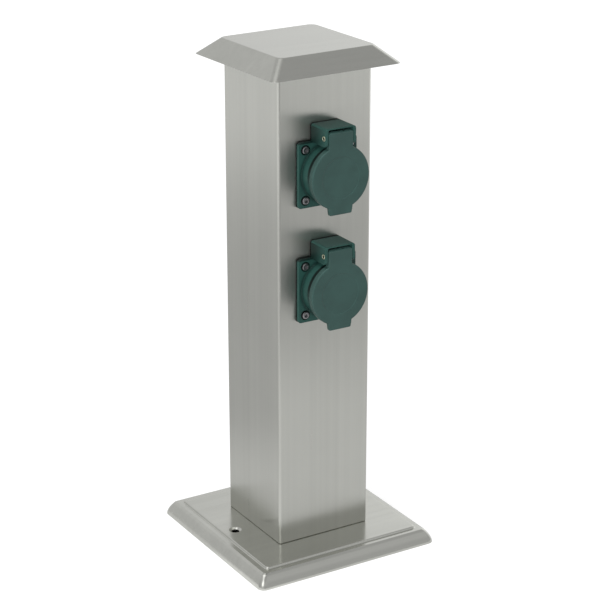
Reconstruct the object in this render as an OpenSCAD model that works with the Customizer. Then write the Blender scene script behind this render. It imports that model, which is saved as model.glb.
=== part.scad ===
// Garden socket post: a square stainless-steel post with a pressed roof cap and a pressed base
// plate, carrying two splash-proof flange sockets with self-closing lids, one above the other.
// Millimetres. The origin is on the ground under the middle of the base, +Z is up and the
// sockets face -Y.

/* [Post] */
// Outside width of the square tube
post_w = 80.5; // [72:0.5:100]
// Length of the tube
post_len = 386.6; // [360:0.2:600]
// Wall of the tube
post_t = 1.2; // [0.8:0.1:2]
// Outside corner radius of the tube
post_r = 2.2; // [1.5:0.1:5]

/* [Base plate] */
// How far the base plate reaches beyond the tube on every side
base_margin = 39.5; // [30:0.5:60]
// Height of the raised panel that the tube stands on
base_h = 12.2; // [10:0.1:20]
// Drop from the panel to the ledge round it
step_h = 1.6; // [1:0.1:4]
// Distance of the panel's edge from the plate's edge
panel_inset = 11.5; // [9:0.1:20]
// Width of the sloped skirt, seen from above
skirt_run = 6.1; // [4:0.1:8]
// Sheet of the base plate
base_t = 1.5; // [1:0.1:2.5]
// Corner radius of the base plate at the ground
base_r = 6; // [2.5:0.5:8]
// Distance between the two fixing holes
fix_spacing = 115; // [105:1:130]
// Diameter of a fixing hole
fix_d = 6; // [4:0.1:8]
// Diameter of the countersink round a fixing hole
fix_sink_d = 10.4; // [8.2:0.1:12]

/* [Cap] */
// How far the cap's lower edge reaches beyond the tube
cap_overhang = 16.25; // [8:0.25:25]
// How far the cap's flat top reaches beyond the tube
cap_lap = 1.75; // [1.2:0.05:4]
// Height of the cap from its lower edge to its top
cap_drop = 13.2; // [8:0.1:20]
// Sheet of the cap
cap_t = 1.2; // [0.8:0.1:1.6]
// Corner radius of the cap
cap_r = 4; // [2:0.5:6]
// Bend radius between the cap's top and its slopes
cap_bend = 1.6; // [0.8:0.1:3]
// Depth of the collar that locates the cap inside the tube
cap_collar_h = 22; // [10:1:40]
// Sheet of that collar
cap_collar_t = 1; // [0.8:0.1:2]

/* [Socket housing] */
// Height of the tube's top edge above the middle of the upper socket
socket_drop = 88.6; // [70:0.1:120]
// Distance between the middles of the two sockets
socket_pitch = 90; // [80:0.5:120]
// Distance from the flange screws to the flange's edges
flange_edge = 6; // [5:0.5:12]
// Thickness of the flange
flange_t = 2.6; // [2:0.1:4]
// Corner radius of the flange
flange_r = 2.5; // [1:0.1:5]
// Gap between the collar and the recess round a flange screw
screw_gap = 1.1; // [0.6:0.01:4]
// Thickness of the gasket behind the flange
gasket_t = 1.2; // [0.8:0.1:3]
// Outside diameter of the collar and barrel
collar_d = 45; // [42:0.1:50]
// Wall of the collar
collar_wall = 2.75; // [1.8:0.05:3]
// How far the collar stands out from the tube
collar_proj = 16.5; // [14:0.1:20]
// Depth of the plug recess
recess_depth = 17.5; // [15:0.1:20]
// Width of a plug guide rib
rib_w = 4.6; // [3:0.1:6]
// How far a guide rib stands into the recess
rib_h = 1.8; // [1:0.1:2.4]

/* [Hood] */
// Thickness of a hood cheek
cheek_t = 2.5; // [1.8:0.1:4]
// How far a cheek reaches below the hinge pin
cheek_drop = 6.35; // [4:0.05:7]
// Thickness of the hood's roof
roof_t = 1; // [0.8:0.1:3]
// Radius of the hood's upper corners
hood_r = 2.2; // [1.5:0.1:7]
// How far the hood's front lies behind the lid's face
hood_setback = 0.5; // [0.4:0.1:1]

/* [Lid] */
// How far the lid reaches beyond the collar all round
lid_lap = 2.1; // [2:0.05:5]
// Depth of the lid's rim
lid_rim = 5; // [4:0.1:7]
// Gap between the collar's edge and the lid's rim
lid_stand = 1; // [0.6:0.1:2]
// Thickness of the lid's face
lid_plate = 2.2; // [1.6:0.1:3]
// Wall of the lid's rim
lid_wall = 1.8; // [1.4:0.1:2.2]
// Rounding of the lid's front edge
lid_edge_r = 1.2; // [0.6:0.1:1.4]
// Diameter of the shallow round panel in the lid's face
lid_panel_d = 32; // [20:1:40]
// Width of the tongue that rises to the hinge
tongue_w = 20.2; // [16:0.1:24]
// Distance from the lid's upper edge to the hinge pin
hinge_gap = 5.95; // [5.1:0.05:8]
// Distance from the lid's face back to the hinge pin
hinge_setback = 3.2; // [3:0.1:4]
// Radius of the tongue's rounded head
knuckle_r = 4.7; // [4.2:0.1:5]
// Diameter of the hinge pin
pin_d = 2.6; // [2:0.1:2.8]
// Width of the thumb tab where it leaves the lid
tab_w = 21.5; // [14:0.1:26]
// Width of the thumb tab at its end
tab_end_w = 19.3; // [10:0.1:24]
// How far the thumb tab stands out below the lid's edge
tab_proj = 3.7; // [2:0.05:8]
// Thickness of the thumb tab
tab_t = 3.4; // [2:0.1:4]

/* [Lid spring] */
// Diameter of the spring wire
wire_d = 0.6; // [0.4:0.05:0.7]
// Number of turns
coil_turns = 5; // [3:1:5]
// Distance from turn to turn
coil_pitch = 1.2; // [1.15:0.05:1.5]

/* [Contacts] */
// Distance between the two plug pins
plug_pitch = 19; // [18:0.1:20]
// Diameter of a pin hole in the recess floor
plug_hole_d = 5.6; // [5.2:0.1:6]
// Thickness of the insert that closes the recess
insert_t = 7; // [6:0.1:9]
// Length of a contact sleeve
sleeve_len = 11; // [8:0.5:16]
// Outside diameter of a contact sleeve
sleeve_d = 6.8; // [6.4:0.1:7]
// Width of a terminal clamp
clamp_w = 7; // [6:0.1:7.5]
// Width of the earth strap
strap_w = 5; // [4:0.1:5.4]
// Thickness of the earth strap
strap_t = 0.8; // [0.5:0.1:1]

/* [Foot and wiring] */
// Sheet of the brackets inside the foot
bracket_t = 2; // [1.5:0.1:4]
// Width of a side bracket
bracket_w = 44; // [36:1:60]
// Height of the upright leg of a side bracket
bracket_leg = 26; // [18:1:40]
// Length of the flat leg of a bracket
bracket_foot = 18; // [16:0.5:20]
// Width of the rear bracket
rear_w = 50; // [48:1:64]
// Height of the rear bracket
rear_h = 84; // [78:1:110]
// Height of the terminal block's underside above the panel
block_rise = 54; // [48:1:60]
// Diameter of a wire over its insulation
cable_d = 2.8; // [2:0.1:3]
// Bore of the cable grommet
grommet_bore = 10; // [6:0.5:12]

/* [Hidden] */
$fn = 64;
eps = 0.01;

// Fits
slide_clear = 0.3;
barrel_clear = 0.25;
seat_clear = 0.1;
run_clear = 0.05;
press_clear = 0.02;
wire_clear = 0.2;
side_gap = 0.4;
roof_clear = 1.75;
seal_gap = 0.2;

// Colours
STEEL = [0.74, 0.74, 0.71];
ZINC = [0.62, 0.63, 0.64];
BRASS = [0.78, 0.62, 0.28];
GREEN = [0.16, 0.28, 0.26];
DARK_GREEN = [0.10, 0.20, 0.18];
RUBBER = [0.07, 0.07, 0.07];
CREAM = [0.88, 0.86, 0.78];

// Base plate, half widths measured from the middle
base_half = post_w / 2 + base_margin;
rim_half = base_half - skirt_run;
panel_half = base_half - panel_inset;
rim_h0 = base_h - step_h;
step_r = step_h / 2;
rim_bend = 1;
corner_r = 3;
skirt_ease = 1.6;
step_lean = 0.3;
fix_sink = base_t / 2;

// Cap
cap_top = base_h + post_len + cap_t;
cap_low = cap_top - cap_drop;
cap_half = post_w / 2 + cap_overhang;
cap_top_half = post_w / 2 + cap_lap;
tube_half = post_w / 2 - post_t;

// Sockets
upper_z = base_h + post_len - socket_drop;
lower_z = upper_z - socket_pitch;
recess_d = collar_d - 2 * collar_wall;
flange_front = gasket_t + flange_t;
clear_hole_d = 3.4;
head_sink_d = 7.2;
screw_spacing = (collar_d + head_sink_d + 2 * screw_gap) / sqrt(2);
flange_w = screw_spacing + 2 * flange_edge;
head_sink = 1;
floor_out = collar_proj - recess_depth;
insert_back = floor_out - insert_t;
hook_t = 1.6;
hook_lip = 0.7;
hook_angle = 30;
barrel_back = insert_back - hook_t;
hook_root = 0.5;
hook_rise = 0.25;
seat_ledge = 0.75;
seat_d = recess_d + 2 * seat_ledge;
rib_top = 2.5;
rib_root = 1;

// Lid and hinge, as heights above the socket's middle and distances out from the tube
lid_d = collar_d + 2 * lid_lap;
lid_back = collar_proj + lid_stand;
lid_front = lid_back + lid_rim;
plate_in = lid_front - lid_plate;
hinge_up = lid_d / 2 + hinge_gap;
hinge_out = lid_front - hinge_setback;
hood_in = tongue_w / 2 + side_gap;
hood_half = hood_in + cheek_t;
hood_out = lid_front - hood_setback;
roof_under = hinge_up + knuckle_r + roof_clear;
roof_top = roof_under + roof_t;
arch_r = 1.2;
cheek_low = hinge_up - cheek_drop;
cheek_r = 2.5;
tongue_t = 4.2;
tongue_r = arch_r + 1;
seal_w = 2;
seal_r = (recess_d + collar_d) / 4;
seal_rib_t = 1.2;
seal_rib_h = 1.8;
panel_sink = 0.3;
tab_r = 1.2;
tab_reach = lid_d / 2 + tab_proj;
pin_head_d = pin_d + 1.6;
pin_head_t = 0.4;
pin_flare_d = 2.2;
pin_well_d = 0.9;

// Lid spring
coil_clear = 0.25;
leg_stop = 0.75;
quarter = 0.25;
coil_r = pin_d / 2 + coil_clear + wire_d / 2;
coil_len = coil_turns * coil_pitch;
slot_r = coil_r + wire_d / 2 + coil_clear;
slot_w = coil_len + coil_pitch + 1;
lid_leg = hinge_gap - leg_stop;
hood_leg = hinge_out - flange_front - wire_d;

// Contacts
face_wall = 3.5;
plug_lead = 0.7;
sleeve_front = floor_out - face_wall;
sleeve_back = sleeve_front - sleeve_len;
sleeve_bore = 5.2;
sleeve_slit = 0.8;
clamp_len = 6;
clamp_back = sleeve_back - clamp_len;
clamp_mid = clamp_back + clamp_len / 2;
core_d = cable_d + 2 * wire_clear;
tower_wall = 2;
tower_w = sleeve_d + 2 * tower_wall;
tower_h = 12;
tower_back = clamp_back + 1;
clamp_gap = 0.6;
earth_w = plug_pitch - tower_w - 2 * clamp_gap;
strap_in = 2.1;
strap_up = recess_d / 2 - strap_in;
strap_spring = 1.4;
clip_back = 6;
clip_root = 1;
clip_flare = 0.4;
earth_mid = insert_back - strap_t - clamp_len / 2;
clamp_screw_d = 2.4;
clamp_head_d = 4.2;
clamp_head_t = 1.8;

// Fasteners
screw_d = 3;
screw_head_d = 5.6;
screw_head_t = 2.2;
screw_len = 9.5;
hex_key = 2.9;
hex_depth = 1.4;
nut_d = 6.35;
nut_t = 2.4;
bolt_d = 5;
bolt_hole_d = 5.5;
bolt_head_d = 9;
bolt_head_t = 3;
bolt_key = 4.6;
bolt_key_t = 1.8;
bolt_spare = 1;
bolt_nut_d = 9.24;
bolt_nut_t = 4;

// Foot and terminal block
panel_under = base_h - base_t;
foot_x = tube_half - bracket_foot / 2;
foot_y = bracket_w / 2 - 8;
rear_y = tube_half - bracket_foot / 2;
rear_foot_w = 2 * (tube_half - bracket_foot - slide_clear);
bolt_places = [[-foot_x, -foot_y], [-foot_x, foot_y], [foot_x, -foot_y], [foot_x, foot_y], [0, rear_y]];
plate_face = tube_half - bracket_t;
block_w = 46;
block_d = 16;
block_h = 20;
block_low = base_h + block_rise;
block_y = plate_face - block_d / 2;
pole_pitch = 12;
pole_d = 6.8;
pole_len = 16;
groove_w = 1.5;
groove_depth = 2;
slot_cut = 0.6;
slot_depth = 0.8;
block_screw_x = 19.5;
bond_z = base_h + 26;
bond_d = 4;
bond_head_d = 7;
bond_head_t = 2.4;
bond_slot = 1;
lug_d = 10;
lug_t = 1;
lug_len = 12;
lug_wall = 1;
lug_barrel = 6;
lug_y = plate_face - lug_t - cable_d / 2 - lug_wall;
grommet_d = 20;
grommet_lip = 3;
grommet_lip_t = 2.5;

// Wires: heights of the bends above the block and below the sockets
wire_sides = 8;
wire_steps = 4;
clamp_y = -post_w / 2 - clamp_mid;
earth_y = -post_w / 2 - earth_mid;
pole_top = block_low + block_h;
wire_in = 5;
bow = 8;

// Corner signs of a square, in turning order
corner_sx = [1, -1, -1, 1];
corner_sy = [1, 1, -1, -1];

// Points of a rounded square at height z, turning anticlockwise seen from above
function square_ring(half, r, z, n = 6) = [
    for (c = [0:3], k = [0:n])
        let (a = 90 * c + 90 * k / n)
        [(half - r) * corner_sx[c] + r * cos(a), (half - r) * corner_sy[c] + r * sin(a), z]
];

// Triangles between ring k and ring k + 1 of rings with n points each
function band(k, n, next) = [
    for (i = [0:n - 1], part = [0:1])
        let (j = (i + 1) % n)
        part == 0 ? [k * n + i, next * n + i, next * n + j] : [k * n + i, next * n + j, k * n + j]
];

// Triangles that close ring k, facing back along the row of rings or forward
function cap_ring(k, n, forward) = [
    for (i = [1:n - 2])
        forward ? [k * n, k * n + i + 1, k * n + i] : [k * n, k * n + i, k * n + i + 1]
];

// A pressed sheet: outer stations from the edge up to the top, inner ones from the top back down.
// A station is [half width, height, corner radius].
module pressed_sheet(outer, inner) {
    stations = concat(outer, inner);
    rings = [for (s = stations) square_ring(s[0], s[2], s[1])];
    n = len(rings[0]);
    last = len(stations) - 1;
    bands = [
        for (k = [0:last]) if (k != len(outer) - 1) for (f = band(k, n, k == last ? 0 : k + 1)) f
    ];
    faces = concat(bands, cap_ring(len(outer) - 1, n, true), cap_ring(len(outer), n, false));
    polyhedron([for (ring = rings) for (p = ring) p], faces, convexity = 6);
}

function unit(v) = v / norm(v);

// A smooth run through hand-placed points, with the given number of steps between two of them
function smooth(p, steps) = [
    for (i = [0:len(p) - 2], k = [0:steps - (i == len(p) - 2 ? 0 : 1)])
        let (
            t = k / steps,
            a = p[max(i - 1, 0)],
            b = p[i],
            c = p[i + 1],
            d = p[min(i + 2, len(p) - 1)]
        )
        (2 * b + (c - a) * t + (2 * a - 5 * b + 4 * c - d) * t ^ 2 + (3 * b - a - 3 * c + d) * t ^ 3) / 2
];

// A round tube swept along points that never run parallel to X
module swept_tube(path, d, sides) {
    last = len(path) - 1;
    points = [
        for (i = [0:last])
            let (
                t = unit(path[min(i + 1, last)] - path[max(i - 1, 0)]),
                u = unit(cross(t, [1, 0, 0])),
                v = cross(t, u)
            )
            for (j = [0:sides - 1])
                path[i] + d / 2 * (cos(360 * j / sides) * u + sin(360 * j / sides) * v)
    ];
    sides_of = [for (k = [0:last - 1]) for (f = band(k, sides, k + 1)) f];
    faces = concat(sides_of, cap_ring(0, sides, false), cap_ring(last, sides, true));
    polyhedron(points, faces, convexity = 8);
}

module rounded_square(w, r) {
    square([w, w - 2 * r], center = true);
    square([w - 2 * r, w], center = true);
    for (sx = [-1, 1], sy = [-1, 1])
        translate([sx * (w / 2 - r), sy * (w / 2 - r)]) circle(r);
}

// Socket frame: X to the right, Y up and Z straight out from the tube's front face
module at_socket(height) {
    translate([0, -post_w / 2, height]) rotate([90, 0, 0]) children();
}

// A section drawn as [distance out, height] and carried across the socket's width
module across(width) {
    rotate([0, -90, 0]) linear_extrude(width, center = true) children();
}

module at_flange_screws() {
    for (sx = [-1, 1], sy = [-1, 1])
        translate([sx * screw_spacing / 2, sy * screw_spacing / 2, 0]) children();
}

module at_pins() {
    for (s = [-1, 1]) translate([s * plug_pitch / 2, 0, 0]) children();
}

// Skirt of the base plate: steep at the ground, easing over towards the ledge
function skirt(share, top, half) = [
    half - skirt_run * share ^ skirt_ease,
    top * share,
    base_r + (corner_r - base_r) * share
];

module base_plate() {
    shares = [0, 0.25, 0.5, 0.75, 0.92];
    outer = concat(
        [for (s = shares) skirt(s, rim_h0, base_half)],
        [for (a = [45, 90])
            [rim_half - rim_bend * (1 - cos(a)), rim_h0 - rim_bend * (1 - sin(a)), corner_r]],
        [for (a = [0, 30, 60, 90])
            [panel_half + step_r * (1 - sin(a)), rim_h0 + step_r * (1 - cos(a)), corner_r]],
        [for (a = [30, 60, 90])
            [panel_half - step_r * (1 - cos(a)), base_h - step_r * (1 - sin(a)), corner_r]]
    );
    inner = concat(
        [
            [panel_half - base_t, panel_under, corner_r / 2],
            [panel_half - step_lean, rim_h0 - base_t, corner_r / 2]
        ],
        [for (s = [0.92, 0.6, 0.3, 0]) skirt(s, rim_h0 - base_t, base_half - base_t)]
    );
    color(STEEL) difference() {
        pressed_sheet(outer, inner);
        for (s = [-1, 1]) translate([s * fix_spacing / 2, 0, 0]) {
            translate([0, 0, panel_under - 1]) cylinder(d = fix_d, h = base_t + 2);
            translate([0, 0, base_h - fix_sink])
                cylinder(d1 = fix_d, d2 = 2 * fix_sink_d - fix_d, h = 2 * fix_sink);
        }
        translate([0, 0, panel_under - 1]) cylinder(d = grommet_d, h = base_t + 2);
        for (p = bolt_places) translate([p[0], p[1], panel_under - 1])
            cylinder(d = bolt_hole_d, h = base_t + 2);
    }
}

module post_tube() {
    color(STEEL) difference() {
        translate([0, 0, base_h]) linear_extrude(post_len) difference() {
            rounded_square(post_w, post_r);
            rounded_square(2 * tube_half, max(post_r - post_t, 0.3));
        }
        for (z = [lower_z, upper_z]) at_socket(z) {
            translate([0, 0, -post_t - 1]) cylinder(d = collar_d + 2 * barrel_clear, h = post_t + 2);
            at_flange_screws() translate([0, 0, -post_t - 1]) cylinder(d = clear_hole_d, h = post_t + 2);
        }
    }
}

module post_cap() {
    run = cap_half - cap_top_half;
    slope = unit([-run, cap_drop]);
    ease = cap_bend * tan(atan2(cap_drop, run) / 2);
    corner = [cap_top_half, cap_top];
    bend_low = corner - ease * slope;
    bend_high = corner - [ease, 0];
    bend_mid = (bend_low + 2 * corner + bend_high) / 4;
    back = cap_t * norm([run, cap_drop]) / cap_drop;
    inner_half = cap_top_half + cap_t * run / cap_drop - back;
    outer = [
        [cap_half, cap_low, cap_r],
        [bend_low[0], bend_low[1], cap_r],
        [bend_mid[0], bend_mid[1], cap_r],
        [bend_high[0], bend_high[1], cap_r]
    ];
    inner = [
        [inner_half, cap_top - cap_t, cap_r / 2],
        [cap_half - back, cap_low, cap_r / 2]
    ];
    color(STEEL) pressed_sheet(outer, inner);
}

// Square sleeve under the cap, a sliding fit in the tube
module cap_collar() {
    w = 2 * (tube_half - slide_clear);
    r = max(post_r - post_t - slide_clear, 0.3) + 1;
    color(ZINC) translate([0, 0, cap_top - cap_t - cap_collar_h]) linear_extrude(cap_collar_h)
        difference() {
            rounded_square(w, r);
            rounded_square(w - 2 * cap_collar_t, max(r - cap_collar_t, 0.3));
        }
}

// Angle brackets that carry the tube, one against each side wall
module foot_brackets() {
    color(ZINC) for (s = [-1, 1]) difference() {
        union() {
            translate([s * foot_x - bracket_foot / 2, -bracket_w / 2, base_h])
                cube([bracket_foot, bracket_w, bracket_t]);
            translate([s * (tube_half - bracket_t / 2) - bracket_t / 2, -bracket_w / 2, base_h])
                cube([bracket_t, bracket_w, bracket_leg]);
        }
        for (y = [-foot_y, foot_y]) translate([s * foot_x, y, base_h - 1])
            cylinder(d = bolt_hole_d, h = bracket_t + 2);
    }
}

// Taller bracket against the rear wall, which also carries the terminal block
module rear_bracket() {
    color(ZINC) difference() {
        union() {
            translate([-rear_foot_w / 2, tube_half - bracket_foot, base_h])
                cube([rear_foot_w, bracket_foot, bracket_t]);
            translate([-rear_w / 2, plate_face, base_h]) cube([rear_w, bracket_t, rear_h]);
        }
        translate([0, rear_y, base_h - 1]) cylinder(d = bolt_hole_d, h = bracket_t + 2);
        for (s = [-1, 1]) translate([s * block_screw_x, plate_face - 1, block_low + block_h / 2])
            rotate([-90, 0, 0]) cylinder(d = screw_d + 2 * press_clear, h = bracket_t + 2);
        translate([0, plate_face - 1, bond_z])
            rotate([-90, 0, 0]) cylinder(d = bond_d + 2 * press_clear, h = bracket_t + 2);
    }
}

module base_bolts() {
    color(ZINC) for (p = bolt_places) translate([p[0], p[1], panel_under]) difference() {
        union() {
            translate([0, 0, -bolt_head_t]) cylinder(d = bolt_head_d, h = bolt_head_t);
            cylinder(d = bolt_d, h = base_t + bracket_t + bolt_nut_t + bolt_spare);
        }
        translate([0, 0, -bolt_head_t - eps]) cylinder(d = bolt_key, h = bolt_key_t, $fn = 6);
    }
}

module base_nuts() {
    color(ZINC) for (p = bolt_places) translate([p[0], p[1], base_h + bracket_t]) difference() {
        cylinder(d = bolt_nut_d, h = bolt_nut_t, $fn = 6);
        translate([0, 0, -1]) cylinder(d = bolt_d + 2 * press_clear, h = bolt_nut_t + 2);
    }
}

// Rubber ring with a groove that grips the panel's edge
module cable_grommet() {
    low = panel_under - grommet_lip_t;
    high = base_h + grommet_lip_t;
    color(RUBBER) difference() {
        union() {
            translate([0, 0, low]) cylinder(d = grommet_d + 2 * grommet_lip, h = grommet_lip_t);
            translate([0, 0, low]) cylinder(d = grommet_d - 2 * press_clear, h = high - low);
            translate([0, 0, base_h])
                cylinder(d1 = grommet_d + 2 * grommet_lip, d2 = grommet_d, h = grommet_lip_t);
        }
        translate([0, 0, low - 1]) cylinder(d = grommet_bore, h = high - low + 2);
    }
}

module at_poles() {
    for (x = [-1, 0, 1]) translate([x * pole_pitch, block_y, block_low + block_h / 2]) children();
}

module at_clamp_screws() {
    at_poles() for (s = [-1, 1]) translate([0, 0, s * pole_len / 4]) rotate([90, 0, 0]) children();
}

module terminal_block() {
    color(CREAM) difference() {
        translate([-block_w / 2, block_y - block_d / 2, block_low]) cube([block_w, block_d, block_h]);
        at_poles() cylinder(d = pole_d + 2 * seat_clear, h = block_h + 2, center = true);
        at_clamp_screws() cylinder(d = clamp_head_d + 2 * wire_clear, h = block_d);
        for (s = [-1, 1]) translate([s * block_screw_x, block_y, block_low + block_h / 2])
            rotate([90, 0, 0]) {
                cylinder(d = clear_hole_d, h = block_d + 2, center = true);
                translate([0, 0, block_d / 2 - screw_head_t])
                    cylinder(d = screw_head_d + 2 * slide_clear, h = block_d);
            }
        for (s = [-1, 1])
            translate([(s * pole_pitch - groove_w) / 2, block_y - block_d / 2 - 1, block_low - 1])
                cube([groove_w, groove_depth + 1, block_h + 2]);
    }
}

module terminal_clamps() {
    color(BRASS) difference() {
        at_poles() cylinder(d = pole_d, h = pole_len, center = true);
        at_poles() cylinder(d = core_d, h = pole_len + 2, center = true);
        at_clamp_screws() cylinder(d = clamp_screw_d + 2 * press_clear, h = pole_d);
    }
}

module clamp_screws() {
    color(ZINC) at_clamp_screws() difference() {
        union() {
            translate([0, 0, core_d / 2])
                cylinder(d = clamp_screw_d, h = (pole_d - core_d) / 2 + clamp_head_t);
            translate([0, 0, pole_d / 2 + press_clear]) cylinder(d = clamp_head_d, h = clamp_head_t);
        }
        translate([-clamp_head_d, -slot_cut / 2, pole_d / 2 + press_clear + clamp_head_t - slot_depth])
            cube([2 * clamp_head_d, slot_cut, 2 * slot_depth]);
    }
}

module block_screws() {
    seat = plate_face - block_d + screw_head_t;
    color(ZINC) for (s = [-1, 1]) translate([s * block_screw_x, seat, block_low + block_h / 2])
        rotate([90, 0, 0]) cap_screw(tube_half - seat - eps);
}

module bond_screw() {
    face = plate_face - lug_t;
    color(BRASS) translate([0, face, bond_z]) rotate([90, 0, 0]) difference() {
        union() {
            cylinder(d = bond_head_d, h = bond_head_t);
            translate([0, 0, -lug_t - bracket_t]) cylinder(d = bond_d, h = lug_t + bracket_t + eps);
        }
        translate([-bond_head_d, -bond_slot / 2, bond_head_t / 2])
            cube([2 * bond_head_d, bond_slot, bond_head_t]);
    }
}

// Ring lug with a short barrel that grips the bonding wire
module bond_lug() {
    color(ZINC) difference() {
        union() {
            translate([0, plate_face, bond_z]) rotate([90, 0, 0]) {
                cylinder(d = lug_d, h = lug_t);
                translate([-cable_d / 2 - lug_wall, 0, 0])
                    cube([cable_d + 2 * lug_wall, lug_len + lug_wall, lug_t]);
            }
            translate([0, lug_y, bond_z + lug_len + lug_wall - lug_barrel])
                cylinder(d = core_d + 2 * lug_wall, h = lug_barrel);
        }
        translate([0, plate_face + 1, bond_z]) rotate([90, 0, 0])
            cylinder(d = bond_d + 2 * press_clear, h = lug_t + 2);
        translate([0, lug_y, bond_z + lug_len - lug_barrel]) cylinder(d = core_d, h = lug_barrel + 2);
    }
}

// Route of one wire: up from the block, across to the lower socket, then on to the upper one
function rise(pole_x, clamp_x, y) = [
    [pole_x, block_y, pole_top - wire_in],
    [pole_x, block_y, pole_top + 2],
    [pole_x, block_y, pole_top + 12],
    [pole_x, block_y - 8, pole_top + 35],
    [clamp_x, y + 10, lower_z - 45],
    [clamp_x, y, lower_z - 16],
    [clamp_x, y, lower_z - 6],
    [clamp_x, y, lower_z - 1]
];

function link(clamp_x, y) = [
    [clamp_x, y, lower_z + 1],
    [clamp_x, y, lower_z + 6],
    [clamp_x, y, lower_z + 16],
    [clamp_x, y + bow, (lower_z + upper_z) / 2],
    [clamp_x, y, upper_z - 16],
    [clamp_x, y, upper_z - 6],
    [clamp_x, y, upper_z - 1]
];

function bond() = [
    [0, lug_y, bond_z + lug_len - 3],
    [0, lug_y, bond_z + lug_len + 2],
    [0, lug_y, bond_z + lug_len + 5],
    [0, block_y, block_low - 5],
    [0, block_y, block_low],
    [0, block_y, block_low + wire_in]
];

module wire(route) swept_tube(smooth(route, wire_steps), cable_d, wire_sides);

module live_wires() {
    color([0.45, 0.27, 0.16]) {
        wire(rise(-pole_pitch, -plug_pitch / 2, clamp_y));
        wire(link(-plug_pitch / 2, clamp_y));
    }
}

module neutral_wires() {
    color([0.12, 0.32, 0.65]) {
        wire(rise(pole_pitch, plug_pitch / 2, clamp_y));
        wire(link(plug_pitch / 2, clamp_y));
    }
}

module earth_wires() {
    color([0.45, 0.60, 0.15]) {
        wire(rise(0, 0, earth_y));
        wire(link(0, earth_y));
        wire(bond());
    }
}

// Upright outline with two round upper corners
module arch(half, top, r) {
    translate([-half, 0]) square([2 * half, top - r]);
    translate([-half + r, 0]) square([2 * (half - r), top]);
    for (s = [-1, 1]) translate([s * (half - r), top - r]) circle(r);
}

module flange_outline() {
    rounded_square(flange_w, flange_r);
    arch(hood_half, roof_top, hood_r);
}

// Side view of a cheek, with its lower front corner rounded
module cheek_section() {
    translate([0, cheek_low + cheek_r]) square([hood_out, roof_top - cheek_low]);
    translate([0, cheek_low]) square([hood_out - cheek_r, 2 * cheek_r]);
    translate([hood_out - cheek_r, cheek_low + cheek_r]) circle(cheek_r);
}

module hood() {
    difference() {
        intersection() {
            translate([0, 0, gasket_t]) linear_extrude(hood_out - gasket_t)
                arch(hood_half, roof_top, hood_r);
            across(2 * hood_half + 2) cheek_section();
        }
        translate([0, 0, flange_front]) linear_extrude(hood_out) arch(hood_in, roof_under, arch_r);
    }
}

// Moulded body: flange, collar, hinge hood and the barrel that goes through the tube's wall
module socket_housing() {
    color(GREEN) union() {
        difference() {
            union() {
                translate([0, 0, gasket_t]) linear_extrude(flange_t) flange_outline();
                translate([0, 0, barrel_back]) cylinder(d = collar_d, h = collar_proj - barrel_back);
                hood();
            }
            translate([0, 0, barrel_back - 1]) cylinder(d = recess_d, h = collar_proj - barrel_back + 2);
            translate([0, 0, barrel_back - 1]) cylinder(d = seat_d, h = floor_out - barrel_back + 1);
            at_flange_screws() {
                translate([0, 0, gasket_t - 1]) cylinder(d = clear_hole_d, h = flange_t + 2);
                translate([0, 0, flange_front - head_sink]) cylinder(d = head_sink_d, h = 2 * head_sink);
            }
            translate([0, hinge_up, hinge_out]) rotate([0, 90, 0])
                cylinder(d = pin_d + 2 * press_clear, h = 2 * hood_half + 2, center = true);
        }
        for (s = [0, 1]) mirror([s, 0, 0]) translate([recess_d / 2 - rib_h, -rib_w / 2, floor_out])
            cube([rib_h + rib_root, rib_w, recess_depth - rib_top]);
        for (k = [0:3]) rotate([0, 0, 45 + 90 * k - hook_angle / 2]) translate([0, 0, barrel_back])
            rotate_extrude(angle = hook_angle) polygon([
                [seat_d / 2 - hook_lip, hook_t],
                [seat_d / 2, hook_rise],
                [seat_d / 2 + hook_root, hook_rise],
                [seat_d / 2 + hook_root, hook_t]
            ]);
    }
}

module socket_gasket() {
    color(RUBBER) linear_extrude(gasket_t) difference() {
        flange_outline();
        circle(d = collar_d + 2 * barrel_clear);
        at_flange_screws() circle(d = clear_hole_d);
    }
}

// Round insert that closes the recess from behind, with a tower round each contact
module socket_insert() {
    color(DARK_GREEN) difference() {
        union() {
            translate([0, 0, insert_back]) cylinder(d = seat_d - 2 * seat_clear, h = insert_t);
            at_pins() translate([-tower_w / 2, -tower_h / 2, tower_back])
                cube([tower_w, tower_h, insert_back - tower_back + 1]);
        }
        at_pins() {
            translate([0, 0, sleeve_front - 1]) cylinder(d = plug_hole_d, h = face_wall + 2);
            translate([0, 0, floor_out - plug_lead])
                cylinder(d1 = plug_hole_d, d2 = plug_hole_d + 4 * plug_lead, h = 2 * plug_lead);
            translate([0, 0, tower_back - 1])
                cylinder(d = sleeve_d + 2 * seat_clear, h = sleeve_front - tower_back + 1);
            translate([-clamp_w / 2 - wire_clear, -tower_h, tower_back - 1])
                cube([clamp_w + 2 * wire_clear, 2 * tower_h, sleeve_back - tower_back + 1 + wire_clear]);
        }
        for (s = [-1, 1]) translate([-strap_w / 2 - wire_clear, s * strap_up - strap_t, insert_back - 1])
            cube([strap_w + 2 * wire_clear, 2 * strap_t, insert_t + 2]);
    }
}

// Cross hole for the wire and the hole for its clamping screw, for a clamp whose middle is given
module clamp_holes(middle) {
    translate([0, 0, middle]) rotate([90, 0, 0]) cylinder(d = core_d, h = clamp_w + 2, center = true);
    translate([0, 0, middle - clamp_len]) cylinder(d = clamp_screw_d + 2 * press_clear, h = clamp_len);
}

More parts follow.
